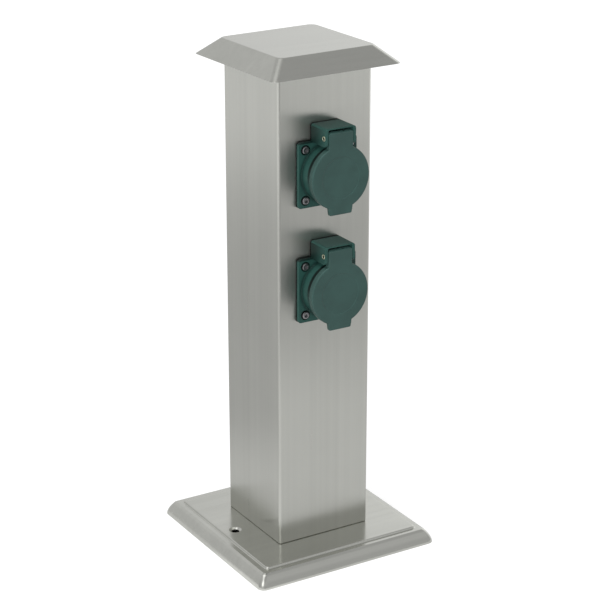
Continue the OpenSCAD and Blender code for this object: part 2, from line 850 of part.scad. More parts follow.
module pin_contacts() {
    color(BRASS) at_pins() difference() {
        union() {
            translate([0, 0, sleeve_back - eps]) cylinder(d = sleeve_d, h = sleeve_len + eps);
            translate([-clamp_w / 2, -clamp_w / 2, clamp_back]) cube([clamp_w, clamp_w, clamp_len]);
        }
        translate([0, 0, sleeve_back]) cylinder(d = sleeve_bore, h = sleeve_len + 1);
        translate([-sleeve_slit / 2, -sleeve_d, sleeve_front - 0.7 * sleeve_len])
            cube([sleeve_slit, 2 * sleeve_d, sleeve_len]);
        clamp_holes(clamp_mid);
    }
}

// Earth strap: a bar behind the insert, a spring clip at the top and bottom, and a clamp
module earth_contact() {
    reach = collar_proj - clip_back;
    bend = (floor_out + reach) / 2;
    color(BRASS) difference() {
        union() {
            translate([-strap_w / 2, -strap_up - strap_t / 2, insert_back - strap_t])
                cube([strap_w, 2 * strap_up + strap_t, strap_t]);
            for (s = [0, 1]) mirror([0, s, 0]) across(strap_w) polygon([
                [insert_back - strap_t, strap_up + strap_t / 2],
                [floor_out + clip_root, strap_up + strap_t / 2],
                [bend, strap_up + strap_t / 2 - strap_spring],
                [reach, strap_up + strap_t / 2 + clip_flare],
                [reach, strap_up - strap_t / 2 + clip_flare],
                [bend, strap_up - strap_t / 2 - strap_spring],
                [floor_out + clip_root, strap_up - strap_t / 2],
                [insert_back - strap_t, strap_up - strap_t / 2]
            ]);
            translate([-earth_w / 2, -clamp_w / 2, earth_mid - clamp_len / 2])
                cube([earth_w, clamp_w, clamp_len + eps]);
        }
        clamp_holes(earth_mid);
    }
}

module terminal_screw() {
    color(ZINC) difference() {
        union() {
            translate([0, 0, -clamp_head_t]) cylinder(d = clamp_head_d, h = clamp_head_t);
            cylinder(d = clamp_screw_d, h = clamp_len / 2 - core_d / 2);
        }
        translate([-clamp_head_d, -slot_cut / 2, -clamp_head_t - slot_depth])
            cube([2 * clamp_head_d, slot_cut, 2 * slot_depth]);
    }
}

module terminal_screws() {
    at_pins() translate([0, 0, clamp_back]) terminal_screw();
    translate([0, 0, earth_mid - clamp_len / 2]) terminal_screw();
}

// Cap screw with a hexagon socket, its head above Z = 0 and its shank below
module cap_screw(len) {
    difference() {
        union() {
            cylinder(d = screw_head_d, h = screw_head_t);
            translate([0, 0, -len]) cylinder(d = screw_d, h = len + eps);
        }
        translate([0, 0, screw_head_t - hex_depth]) cylinder(d = hex_key, h = screw_head_t, $fn = 6);
    }
}

module flange_screws() {
    color(ZINC) at_flange_screws() translate([0, 0, flange_front - head_sink]) cap_screw(screw_len);
}

module flange_nuts() {
    color(ZINC) at_flange_screws() translate([0, 0, -post_t - nut_t]) difference() {
        cylinder(d = nut_d, h = nut_t, $fn = 6);
        translate([0, 0, -1]) cylinder(d = screw_d + 2 * press_clear, h = nut_t + 2);
    }
}

// Hinge pin with a hollow, flared end on each side
module hinge_pin() {
    color(ZINC) translate([0, hinge_up, hinge_out]) rotate([0, 90, 0]) difference() {
        union() {
            cylinder(d = pin_d, h = 2 * hood_half, center = true);
            for (s = [-1, 1]) translate([0, 0, s * (hood_half + pin_head_t / 2)])
                cylinder(d = pin_head_d, h = pin_head_t, center = true);
        }
        for (s = [0, 1]) mirror([0, 0, s]) translate([0, 0, hood_half + pin_head_t - pin_d / 2])
            cylinder(d1 = pin_well_d, d2 = pin_flare_d, h = pin_d / 2 + eps);
    }
}

// Spring route: up the back of the tongue, round the pin and back to the flange
function coil_point(turn) = [
    coil_len * (turn / (coil_turns + quarter) - 0.5),
    hinge_up + coil_r * sin(360 * turn),
    hinge_out + coil_r * cos(360 * turn)
];

coil_steps = 12;
coil_sides = 6;
spring_route = concat(
    [for (k = [0:1]) coil_point(0) - [0, lid_leg * (1 - k / 2), 0]],
    [for (k = [0:(coil_turns + quarter) * coil_steps]) coil_point(k / coil_steps)],
    [for (k = [1:2]) coil_point(coil_turns + quarter) - [0, 0, hood_leg * k / 2]]
);
echo(least_gap_between_turns = min([
    for (i = [0:len(spring_route) - 1], j = [0:len(spring_route) - 1])
        if (j - i >= coil_steps / 2) norm(spring_route[i] - spring_route[j]) - wire_d
]));

module lid_spring() color(ZINC) swept_tube(spring_route, wire_d, coil_sides);

// Half section of the lid's round shell, with the rib that locates its seal
module lid_section() {
    r = lid_d / 2;
    rib_r = seal_r - seal_w / 2 - seat_clear;
    translate([0, plate_in]) square([r - lid_edge_r, lid_plate]);
    translate([r - lid_wall, lid_back]) square([lid_wall, lid_rim - lid_edge_r]);
    translate([r - lid_edge_r, lid_front - lid_edge_r]) circle(lid_edge_r);
    translate([rib_r - seal_rib_t, plate_in - seal_rib_h])
        square([seal_rib_t, seal_rib_h + lid_plate / 2]);
}

// Side view of the tongue and its round head, flush with the lid's face
module tongue_section() {
    intersection() {
        union() {
            translate([lid_front - tongue_t, 0]) square([tongue_t, hinge_up]);
            translate([hinge_out, hinge_up]) circle(knuckle_r);
        }
        square([lid_front, roof_top]);
    }
}

module tab_outline() {
    hull() {
        translate([-tab_w / 2, -lid_d / 2 + lid_wall]) square([tab_w, 1]);
        for (s = [-1, 1]) translate([s * (tab_end_w / 2 - tab_r), tab_r - tab_reach])
            circle(tab_r, $fn = 32);
    }
}

module socket_lid() {
    color(GREEN) difference() {
        union() {
            rotate_extrude() lid_section();
            difference() {
                union() {
                    intersection() {
                        across(tongue_w) tongue_section();
                        linear_extrude(lid_front + 1)
                            arch(tongue_w / 2, hinge_up + knuckle_r, tongue_r);
                    }
                    translate([0, 0, lid_front - tab_t]) linear_extrude(tab_t) tab_outline();
                }
                cylinder(d = lid_d - lid_wall, h = lid_front - lid_plate / 2);
            }
        }
        translate([0, 0, lid_front - panel_sink]) cylinder(d = lid_panel_d, h = 1);
        translate([0, hinge_up, hinge_out]) rotate([0, 90, 0])
            cylinder(d = pin_d + 2 * run_clear, h = tongue_w + 2, center = true);
        translate([-slot_w / 2, hinge_up - lid_leg - wire_d / 2, 0])
            cube([slot_w, lid_leg + 2 * knuckle_r, hinge_out + slot_r]);
    }
}

// Round-nosed ring inside the lid that meets the collar's edge
module lid_seal() {
    nose = seal_w / 2;
    color(RUBBER) rotate_extrude() {
        translate([seal_r - seal_w / 2, collar_proj + seal_gap + nose])
            square([seal_w, plate_in - collar_proj - seal_gap - nose]);
        translate([seal_r, collar_proj + seal_gap + nose]) circle(nose);
    }
}

base_plate();
post_tube();
post_cap();
cap_collar();
foot_brackets();
rear_bracket();
base_bolts();
base_nuts();
cable_grommet();
terminal_block();
terminal_clamps();
clamp_screws();
block_screws();
bond_screw();
bond_lug();
live_wires();
neutral_wires();
earth_wires();
at_socket(upper_z) socket_gasket();  // upper_gasket
at_socket(upper_z) socket_housing();  // upper_housing
at_socket(upper_z) socket_insert();  // upper_insert
at_socket(upper_z) pin_contacts();  // upper_pin_contacts
at_socket(upper_z) earth_contact();  // upper_earth_contact
at_socket(upper_z) terminal_screws();  // upper_terminal_screws
at_socket(upper_z) flange_screws();  // upper_flange_screws
at_socket(upper_z) flange_nuts();  // upper_flange_nuts
at_socket(upper_z) hinge_pin();  // upper_hinge_pin
at_socket(upper_z) lid_spring();  // upper_lid_spring
at_socket(upper_z) socket_lid();  // upper_lid
at_socket(upper_z) lid_seal();  // upper_lid_seal
at_socket(lower_z) socket_gasket();  // lower_gasket
at_socket(lower_z) socket_housing();  // lower_housing
at_socket(lower_z) socket_insert();  // lower_insert
at_socket(lower_z) pin_contacts();  // lower_pin_contacts
at_socket(lower_z) earth_contact();  // lower_earth_contact
at_socket(lower_z) terminal_screws();  // lower_terminal_screws
at_socket(lower_z) flange_screws();  // lower_flange_screws
at_socket(lower_z) flange_nuts();  // lower_flange_nuts
at_socket(lower_z) hinge_pin();  // lower_hinge_pin
at_socket(lower_z) lid_spring();  // lower_lid_spring
at_socket(lower_z) socket_lid();  // lower_lid
at_socket(lower_z) lid_seal();  // lower_lid_seal
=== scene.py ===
"""Looks of the garden socket post.

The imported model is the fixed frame. Every sheet, moulding and fastener that shows is a surface
worked out in millimetres, written in metres where its node lies, and dressed with a finish made
of shader nodes. The sockets are worked out in a frame of their own: X to the right, Y up and Z
straight out from the front of the tube.
"""

import logging
import math
from dataclasses import dataclass, field, replace
from enum import Enum
from typing import Any, Callable, ClassVar, Optional, Sequence, Union

import bmesh
import bpy
import numpy as np
from mathutils import Matrix, Vector
from mathutils.geometry import delaunay_2d_cdt


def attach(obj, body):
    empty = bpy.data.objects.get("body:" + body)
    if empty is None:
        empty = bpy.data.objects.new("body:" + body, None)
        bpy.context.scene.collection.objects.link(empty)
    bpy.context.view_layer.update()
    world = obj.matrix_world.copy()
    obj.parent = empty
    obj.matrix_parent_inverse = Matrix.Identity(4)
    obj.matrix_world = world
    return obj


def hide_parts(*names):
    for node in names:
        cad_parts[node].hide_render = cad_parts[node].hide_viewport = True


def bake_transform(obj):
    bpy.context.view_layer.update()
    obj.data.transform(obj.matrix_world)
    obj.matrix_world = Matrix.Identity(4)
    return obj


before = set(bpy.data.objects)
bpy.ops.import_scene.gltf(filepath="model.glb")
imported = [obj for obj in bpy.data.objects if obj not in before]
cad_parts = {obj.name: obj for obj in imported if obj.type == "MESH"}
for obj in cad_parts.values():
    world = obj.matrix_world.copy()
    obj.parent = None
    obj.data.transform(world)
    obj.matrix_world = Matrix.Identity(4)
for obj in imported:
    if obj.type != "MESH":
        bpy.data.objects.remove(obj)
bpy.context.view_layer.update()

Array = np.ndarray
Span = tuple[float, float]
Triple = tuple[float, float, float]
Profile = tuple[Span, ...]
LOG = logging.getLogger("socket_post")

MM = 0.001
WELD = 0.002
FLAT_TOLERANCE = 1e-5
SHARP_DEG = 33.0
SHARP_EDGE = 0.01
SIDES = 96
LID_SIDES = 128
BORE_SIDES = 32
SCREW_HOLE_SIDES = 24
CORNER_POINTS = 9
POST_HALF = 40.25


# Surfaces


@dataclass
class Surface:
    """Points of a shape in millimetres, with its four-sided and three-sided faces."""

    points: Array
    quads: Array = field(default_factory=lambda: np.zeros((0, 4), int))
    tris: Array = field(default_factory=lambda: np.zeros((0, 3), int))

    def __add__(self, other: "Surface") -> "Surface":
        """Both shapes as one; points that meet are welded when the mesh is made."""
        shift = len(self.points)
        return Surface(
            np.concatenate([self.points, other.points]),
            np.concatenate([self.quads, other.quads + shift]),
            np.concatenate([self.tris, other.tris + shift]),
        )

    def mapped(self, rule: Callable[[Array], Array]) -> "Surface":
        """The same faces with every point sent through a rule."""
        return Surface(rule(self.points), self.quads, self.tris)

    def moved(self, x: float, y: float) -> "Surface":
        """The shape shifted as it is."""
        return self.mapped(lambda p: p + np.array([x, y, 0.0]))


def joined(parts: Sequence[Surface]) -> Surface:
    """All the shapes of a list as one.

    Args:
        parts: Shapes, at least one.

    Returns:
        One shape with all their faces.
    """
    whole = parts[0]
    for part in parts[1:]:
        whole = whole + part
    return whole


def lattice(grid: Array, wrap_rows: bool = False) -> Surface:
    """Four-sided faces between neighbouring points of a grid, whose last column meets the first.

    Args:
        grid: Points, rows by columns by three.
        wrap_rows: Whether the last row meets the first too.

    Returns:
        The surface through the grid.
    """
    rows, cols = grid.shape[:2]
    i = np.arange(rows if wrap_rows else rows - 1)
    a, b = np.meshgrid(i, np.arange(cols), indexing="ij")
    c, d = (a + 1) % rows, (b + 1) % cols
    quads = np.stack([a * cols + b, a * cols + d, c * cols + d, c * cols + b], -1)
    return Surface(grid.reshape(-1, 3), quads.reshape(-1, 4))


def closed_run(rings: Array, ends: Sequence[Array]) -> Surface:
    """A run of rings that draws together to a point before the first and after the last.

    Args:
        rings: Points, rings by columns by three.
        ends: The two end points.

    Returns:
        The closed surface.
    """
    first, last = (np.broadcast_to(end, (1,) + rings.shape[1:]) for end in ends)
    return lattice(np.concatenate([first, rings, last]))


def quarter_turn(count: int) -> Array:
    """Angles from 0 to 90 degrees in equal steps, in radians."""
    return np.radians(np.linspace(0, 90, count))


def round_steps(sides: int) -> Array:
    """Angles of equal steps once round, in radians."""
    return 2 * np.pi * np.arange(sides) / sides


def arc(x: float, y: float, r: float, start: float, end: float, count: int = 7) -> Array:
    """Points of a circular arc from one angle to another.

    Args:
        x: Middle of the arc, first coordinate.
        y: Middle of the arc, second coordinate.
        r: Radius.
        start: First angle in degrees.
        end: Last angle in degrees.
        count: Number of points, both ends included.

    Returns:
        Points, count by two.
    """
    a = np.radians(np.linspace(start, end, count))
    return np.stack([x + r * np.cos(a), y + r * np.sin(a)], -1)


def circle(r: float, x: float, y: float, sides: int) -> Array:
    """Points of a full circle, turning anticlockwise, without a repeated end."""
    return arc(x, y, r, 0, 360, sides + 1)[:-1]


def rectangle(left: float, right: float, low: float, high: float) -> Array:
    """Outline of a rectangle, anticlockwise from its lower left corner."""
    return np.array([[left, low], [right, low], [right, high], [left, high]])


def rounded_square(half: float, r: float) -> Array:
    """Outline of a square with round corners, from the corner at +X +Y anticlockwise.

    Args:
        half: Half width of the square.
        r: Radius of its corners.

    Returns:
        Points of the outline.
    """
    inner = half - r
    corners = [(inner, inner, 0), (-inner, inner, 90), (-inner, -inner, 180), (inner, -inner, 270)]
    return np.concatenate([arc(x, y, r, a, a + 90, CORNER_POINTS) for x, y, a in corners])


def at_height(outline: Array, z: float) -> Array:
    """A flat outline as points in space at one height."""
    return np.column_stack([outline, np.full(len(outline), z)])


def square_rings(stations: Sequence[Triple], turn: float = 0.0) -> Array:
    """Rounded squares one above the other, each turned by the same angle about the Z axis.

    Args:
        stations: Half width, height and corner radius of each square.
        turn: The angle in degrees, anticlockwise from above.

    Returns:
        Points, stations by columns by three.
    """
    a = math.radians(turn)
    turned = np.array([[math.cos(a), math.sin(a)], [-math.sin(a), math.cos(a)]])
    return np.stack([at_height(rounded_square(half, r) @ turned, z) for half, z, r in stations])


def inset(outline: Array, d: float) -> Array:
    """An anticlockwise outline moved inwards by the same distance all along.

    Each corner moves along the sum of its two edges' normals, divided by one plus their cosine,
    which keeps both edges parallel to where they were.

    Args:
        outline: Points, n by two.
        d: Distance inwards.

    Returns:
        The moved points.
    """
    edge = np.roll(outline, -1, 0) - outline
    normal = np.stack([edge[:, 1], -edge[:, 0]], -1) / np.linalg.norm(edge, axis=1)[:, None]
    before = np.roll(normal, 1, 0)
    miter = (normal + before) / (1 + (normal * before).sum(1))[:, None]
    return outline - d * miter


def within(points: Array, loop: Array) -> Array:
    """Whether points lie inside a loop, by counting the edges to their right.

    Args:
        points: Points, n by two.
        loop: Corners of the loop, m by two.

    Returns:
        One truth value for each point.
    """
    x, y = points[:, None, 0], points[:, None, 1]
    a, b = loop[None], np.roll(loop, -1, 0)[None]
    spans = (a[..., 1] > y) != (b[..., 1] > y)
    rise = np.where(spans, b[..., 1] - a[..., 1], 1.0)
    reach = a[..., 0] + (b[..., 0] - a[..., 0]) * (y - a[..., 1]) / rise
    return (spans & (x < reach)).sum(1) % 2 == 1


def filled(loops: Sequence[Array], z: float) -> Surface:
    """Flat face inside the first loop and outside the others, at one height.

    Args:
        loops: Outlines in the plane; the first is the edge and the rest are holes.
        z: Height of the plane.

    Returns:
        The face as triangles.
    """
    starts = np.cumsum([0] + [len(loop) for loop in loops])
    edges = [
        (int(s + i), int(s + (i + 1) % n))
        for s, n in zip(starts, map(len, loops))
        for i in range(n)
    ]
    flat = [Vector(p) for p in np.concatenate(loops).tolist()]
    verts, _, faces, *_ = delaunay_2d_cdt(flat, edges, [], 1, FLAT_TOLERANCE)
    points, tris = np.array([v[:] for v in verts]), np.array(faces, int)
    middle = points[tris].mean(1)
    kept = within(middle, loops[0])
    for hole in loops[1:]:
        kept &= ~within(middle, hole)
    return Surface(at_height(points, z), tris=tris[kept])


def revolved(profile: Sequence[Sequence[float]], sides: int, closed: bool = False) -> Surface:
    """A profile of (radius, height) turned about the Z axis.

    Args:
        profile: Points of the profile in order.
        sides: Number of steps round the axis.
        closed: Whether the profile's last point meets its first.

    Returns:
        The turned surface.
    """
    r, z = np.asarray(profile, float).T
    a = round_steps(sides)
    x, y = r[:, None] * np.cos(a), r[:, None] * np.sin(a)
    return lattice(np.stack([x, y, np.broadcast_to(z[:, None], x.shape)], -1), wrap_rows=closed)


@dataclass(frozen=True)
class Hole:
    """A round hole: its middle and its wall as (radius, height) from the front to the back."""

    x: float
    y: float
    wall: Profile
    sides: int = 48

    @classmethod
    def straight(cls, x: float, y: float, r: float, front: float, back: float, sides: int) -> "Hole":
        """A hole of one radius all through."""
        return cls(x, y, ((r, front), (r, back)), sides)

    def mouth(self, index: int) -> Array:
        """The edge of the hole at one end of its wall."""
        return circle(self.wall[index][0], self.x, self.y, self.sides)

    def surface(self) -> Surface:
        """The wall of the hole."""
        return revolved(self.wall, self.sides).moved(self.x, self.y)


def holed_plate(rims: Array, holes: Sequence[Hole] = ()) -> Surface:
    """A closed plate: rings round its edge, a flat face at either end of them, and its holes.

    Args:
        rims: Rings of points from the edge of the back face to the edge of the front face.
        holes: Holes from the front face to the back face.

    Returns:
        The closed surface.
    """
    front = filled([rims[-1][:, :2]] + [h.mouth(0) for h in holes], rims[-1][0, 2])
    back = filled([rims[0][:, :2]] + [h.mouth(-1) for h in holes], rims[0][0, 2])
    return joined([lattice(rims), front, back] + [h.surface() for h in holes])


def slab(outline: Array, low: float, high: float, round_low: float, round_high: float,
         holes: Sequence[Hole] = ()) -> Surface:
    """A plate of one outline with rounded lower and upper edges.

    Args:
        outline: Anticlockwise outline.
        low: Height of the back face.
        high: Height of the front face.
        round_low: Rounding of the back edge.
        round_high: Rounding of the front edge.
        holes: Holes from the front face to the back face.

    Returns:
        The closed surface.
    """
    turn = quarter_turn(5)
    steps = [(round_low * (1 - math.sin(t)), low + round_low * (1 - math.cos(t))) for t in turn]
    steps += [(round_high * (1 - math.cos(t)), high - round_high * (1 - math.sin(t))) for t in turn]
    rims = np.stack([at_height(inset(outline, d), z) for d, z in steps])
    return holed_plate(rims, holes)


def smooth_run(points: Array, steps: int) -> Array:
    """A smooth curve through points: on each stretch the cubic whose slopes at both ends are half
    the way between the neighbouring points.

    Args:
        points: Points to pass, n by three.
        steps: Steps on each stretch.

    Returns:
        Points of the curve.
    """
    p = np.concatenate([points[:1], points, points[-1:]])
    a, b, c, d = (p[k : len(p) - 3 + k, None] for k in range(4))
    t = (np.arange(steps) / steps)[None, :, None]
    run = (2 * b + (c - a) * t + (2 * a - 5 * b + 4 * c - d) * t**2 + (3 * b - a - 3 * c + d) * t**3) / 2
    return np.concatenate([run.reshape(-1, 3), points[-1:]])


def swept_tube(path: Array, r: float, sides: int) -> Surface:
    """A round tube along a path that never runs along X, closed at both ends.

    Each ring stands square to the path: one of its axes is the path's direction crossed with X.

    Args:
        path: Points of the middle line.
        r: Radius of the tube.
        sides: Points round each ring.

    Returns:
        The closed tube.
    """
    along = np.gradient(path, axis=0)
    along /= np.linalg.norm(along, axis=1)[:, None]
    across = np.cross(along, [1.0, 0.0, 0.0])
    across /= np.linalg.norm(across, axis=1)[:, None]
    third = np.cross(along, across)
    a = round_steps(sides)
    ring = np.cos(a)[:, None] * across[:, None] + np.sin(a)[:, None] * third[:, None]
    return closed_run(path[:, None] + r * ring, (path[0], path[-1]))


def on_front(height: float) -> Callable[[Array], Array]:
    """The rule from a socket's own frame to the part's: X stays, Z goes out along -Y, Y goes up."""
    return lambda p: np.stack([p[:, 0], -POST_HALF - p[:, 2], height + p[:, 1]], -1)


# Meshes and pieces


def placed(name: str, data: bpy.types.ID) -> bpy.types.Object:
    """A new object in the scene.

    Args:
        name: Name of the object.
        data: Its mesh, camera or lamp.

    Returns:
        The object.
    """
    obj = bpy.data.objects.new(name, data)
    bpy.context.scene.collection.objects.link(obj)
    return obj


def aim(obj: bpy.types.Object, at: Triple, way: Vector) -> None:
    """Puts a camera or lamp at a place and turns it to look along a direction.

    Args:
        obj: The camera or lamp.
        at: Its place.
        way: The direction.
    """
    obj.location = at
    obj.rotation_mode = "QUATERNION"
    obj.rotation_quaternion = way.to_track_quat("-Z", "Y")


def weld(mesh: bpy.types.Mesh, outwards: bool) -> None:
    """Welds the points of a mesh that meet and drops faces without area.

    Args:
        mesh: The mesh in millimetres, changed as it is.
        outwards: Whether its faces are turned to point outwards too.
    """
    work = bmesh.new()
    work.from_mesh(mesh)
    bmesh.ops.remove_doubles(work, verts=work.verts, dist=WELD)
    bmesh.ops.dissolve_degenerate(work, edges=work.edges, dist=WELD)
    if outwards:
        bmesh.ops.recalc_face_normals(work, faces=work.faces)
    work.to_mesh(mesh)
    work.free()


def made_mesh(name: str, shape: Surface) -> bpy.types.Mesh:
    """A shape as a mesh in millimetres, with meeting points welded and faces pointing outwards.

    Args:
        name: Name of the mesh.
        shape: Points and faces.

    Returns:
        The mesh.
    """
    mesh = bpy.data.meshes.new(name)
    mesh.from_pydata(shape.points.tolist(), [], shape.quads.tolist() + shape.tris.tolist())
    weld(mesh, outwards=True)
    return mesh


def fused_mesh(name: str, body: Surface, joins: Sequence[Surface],
               cuts: Sequence[Surface]) -> bpy.types.Mesh:
    """One skin round a closed shape with other closed shapes joined to it and taken out of it.

    Args:
        name: Name of the mesh.
        body: Shape to start from.
        joins: Shapes to join to it.
        cuts: Shapes to take out afterwards.

    Returns:
        The mesh in millimetres.
    """
    helpers = []

    def helper(shape: Surface) -> bpy.types.Object:
        """A passing object that holds one of the shapes."""
        helpers.append(placed("helper", made_mesh("helper", shape)))
        return helpers[-1]

    target = helper(body)
    for operation, shapes in (("UNION", joins), ("DIFFERENCE", cuts)):
        for shape in shapes:
            step = target.modifiers.new(operation.lower(), "BOOLEAN")
            step.operation, step.solver, step.object = operation, "EXACT", helper(shape)
    graph = bpy.context.evaluated_depsgraph_get()
    mesh = bpy.data.meshes.new_from_object(target.evaluated_get(graph))
    mesh.name = name
    for obj in helpers:
        spent = obj.data
        bpy.data.objects.remove(obj)
        bpy.data.meshes.remove(spent)
    weld(mesh, outwards=False)
    return mesh


class Body(Enum):
    """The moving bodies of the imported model."""

    POST = "post"
    UPPER_LID = "upper_lid"
    LOWER_LID = "lower_lid"


def set_piece(name: str, mesh: bpy.types.Mesh, finish: "Finish", body: Optional[Body],
              *nodes: str) -> bpy.types.Object:
    """Puts a mesh into the scene as a piece that stands for CAD nodes.

    Args:
        name: Name of the piece.
        mesh: Its mesh in millimetres, in the part's frame.
        finish: Its finish, whose material goes on the mesh; its slot begins the material's name.
        body: The body it rides on, or None to leave it on no body.
        nodes: CAD nodes that it stands for.

    Returns:
        The piece.
    """
    mesh.transform(Matrix.Scale(MM, 4))
    mesh.polygons.foreach_set("use_smooth", np.ones(len(mesh.polygons), bool))
    mesh.set_sharp_from_angle(angle=math.radians(SHARP_DEG))
    mesh.materials.clear()
    mesh.materials.append(finish.material())
    obj = placed(name, mesh)
    even = obj.modifiers.new("even_shading", "WEIGHTED_NORMAL")
    even.keep_sharp = True
    if body is not None:
        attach(obj, body.value)
    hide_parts(*nodes)
    LOG.info("%s: %d faces, stands for %s", name, len(mesh.polygons), ", ".join(nodes))
    return obj


# Shader maths


class Socket:
    """An output of a shader node that takes part in Python arithmetic as Math nodes."""

    def __init__(self, graph: "Graph", link: Optional[bpy.types.NodeSocket]) -> None:
        """Keeps the graph that new nodes go into, and the output itself."""
        self.graph, self.link = graph, link

    def _math(self, operation: str, *values: "Value") -> "Socket":
        """One Math node on one or two values."""
        return self.graph.node("ShaderNodeMath", {"operation": operation}, dict(enumerate(values)))

    def __add__(self, other: "Value") -> "Socket":
        """Sum."""
        return self._math("ADD", self, other)

    def __mul__(self, other: "Value") -> "Socket":
        """Product."""
        return self._math("MULTIPLY", self, other)

    def __sub__(self, other: "Value") -> "Socket":
        """Difference."""
        return self._math("SUBTRACT", self, other)

    def __rsub__(self, other: "Value") -> "Socket":
        """Difference from a number."""
        return self._math("SUBTRACT", other, self)

    def __truediv__(self, other: "Value") -> "Socket":
        """Quotient."""
        return self._math("DIVIDE", self, other)

    def __abs__(self) -> "Socket":
        """The value without its sign."""
        return self._math("ABSOLUTE", self)

    __radd__, __rmul__ = __add__, __mul__

    def most(self, other: "Value") -> "Socket":
        """The larger of two values."""
        return self._math("MAXIMUM", self, other)

    def sway(self, amount: float) -> "Socket":
        """The distance of a noise from its middle, one half, times an amount."""
        return (self - 0.5) * amount

    def ramp(self, low: float, high: float) -> "Socket":
        """0 below the low value, 1 above the high one, and a smooth step between them."""
        return self.graph.node(
            "ShaderNodeMapRange", {"interpolation_type": "SMOOTHSTEP"},
            {"Value": self, "From Min": low, "From Max": high}, "Result")


Value = Union[float, Socket]


class Graph:
    """The node tree of a material or world, with one way to add a node."""

    def __init__(self, owner: Union[bpy.types.Material, bpy.types.World]) -> None:
        """Turns the owner's nodes on and empties them.

        Args:
            owner: The material or world.
        """
        owner.use_nodes = True
        self.tree = owner.node_tree
        self.tree.nodes.clear()

    def node(self, kind: str, settings: Optional[dict[str, Any]] = None,
             inputs: Optional[dict[Union[int, str], Any]] = None, output: Union[int, str] = 0) -> Socket:
        """Adds a node.

        Args:
            kind: Blender's name of the node type.
            settings: Properties of the node, set before its sockets.
            inputs: A number, colour or Socket for each input by name or place.
            output: The output to hand back.

        Returns:
            That output as a Socket.
        """
        made = self.tree.nodes.new(kind)
        for key, value in (settings or {}).items():
            setattr(made, key, value)
        for key, value in (inputs or {}).items():
            if isinstance(value, Socket):
                self.tree.links.new(value.link, made.inputs[key])
            else:
                made.inputs[key].default_value = value
        return Socket(self, made.outputs[output] if made.outputs else None)

    def place(self) -> Socket:
        """The point of the surface in the part's frame, in metres."""
        return self.node("ShaderNodeTexCoord", output="Object")

    def ray(self, kind: str) -> Socket:
        """1 for light paths of one kind and 0 for others."""
        return self.node("ShaderNodeLightPath", output=f"Is {kind} Ray")

    def vector(self, operation: str, *values: Any) -> Socket:
        """A vector worked out from vectors."""
        return self.node("ShaderNodeVectorMath", {"operation": operation}, dict(enumerate(values)))

    def length(self, at: Socket) -> Socket:
        """Length of a vector."""
        return self.node("ShaderNodeVectorMath", {"operation": "LENGTH"}, {0: at}, "Value")

    def dot(self, at: Socket, way: Triple) -> Socket:
        """How far a vector points along a direction."""
        return self.node("ShaderNodeVectorMath", {"operation": "DOT_PRODUCT"}, {0: at, 1: way}, "Value")

    def noise(self, at: Socket, scale: Union[float, Triple], detail: float) -> Socket:
        """Noise from 0 to 1 round one half.

        Args:
            at: The place.
            scale: Waves per metre, the same all ways or along X, Y and Z.
            detail: Octaves of finer noise.

        Returns:
            The noise as a value.
        """
        stretched = self.vector("MULTIPLY", at, scale if isinstance(scale, tuple) else (scale,) * 3)
        inputs = {"Vector": stretched, "Scale": 1.0, "Detail": detail}
        return self.node("ShaderNodeTexNoise", {}, inputs, "Fac")

    def blend(self, share: Value, low: Any, high: Any) -> Socket:
        """A colour between two others."""
        return self.node("ShaderNodeMix", {"data_type": "RGBA"}, {0: share, 6: low, 7: high}, 2)

    def bump(self, height: Socket, strength: float, distance: float) -> Socket:
        """The normal of a surface raised by a height."""
        return self.node("ShaderNodeBump", {}, {"Height": height, "Strength": strength, "Distance": distance})

    def surface(self, **sockets: Any) -> None:
        """Ends a material in a Principled BSDF.

        Args:
            sockets: A value or Socket for each input, with _ for a space in its name.
        """
        named = {key.replace("_", " "): value for key, value in sockets.items()}
        shader = self.node("ShaderNodeBsdfPrincipled", {}, named)
        self.node("ShaderNodeOutputMaterial", {}, {"Surface": shader})


def rgba(colour: Triple, share: float = 1.0) -> tuple[float, float, float, float]:
    """A colour with its brightness changed by a share, for a colour socket."""
    return (colour[0] * share, colour[1] * share, colour[2] * share, 1.0)


WHITE: Triple = (1.0, 1.0, 1.0)
RIGHT: Triple = (1.0, 0.0, 0.0)
REARWARDS: Triple = (0.0, 1.0, 0.0)
OUTWARDS: Triple = (0.0, -1.0, 0.0)
UPWARDS: Triple = (0.0, 0.0, 1.0)


# Finishes


class Grain(Enum):
    """Run of the brush lines: waves per metre along X, Y and Z."""

    UPRIGHT = (1400.0, 1400.0, 4.0)
    SIDEWAYS = (9.0, 1400.0, 1400.0)

    def scaled(self, share: float) -> Triple:
        """The waves per metre of wider lines."""
        return tuple(waves * share for waves in self.value)


@dataclass(frozen=True)
class Finish:
    """A finish: the record's slot that it belongs to and its own colour and gloss."""

    slot: str
    colour: Triple
    roughness: float

    @property
    def label(self) -> str:
        """Name of the Blender material, with a short number from the finish's values.

        Returns:
            The name.
        """
        total = 7
        for letter in repr(self):
            total = (total * 131 + ord(letter)) % 65521
        return f"{self.slot}_{type(self).__name__.lower()}_{total:x}"

    def material(self) -> bpy.types.Material:
        """The material, made on first use.

        Returns:
            The Blender material.
        """
        found = bpy.data.materials.get(self.label)
        if found is not None:
            return found
        made = bpy.data.materials.new(self.label)
        self.dress(Graph(made))
        return made

    def tinted(self, g: Graph, share: Socket, limits: Span) -> Socket:
        """The finish's colour between two shares of its brightness."""
        return g.blend(share, *(rgba(self.colour, limit) for limit in limits))

    def dress(self, g: Graph) -> None:
        """Adds the nodes; each kind of finish has its own."""
        raise NotImplementedError


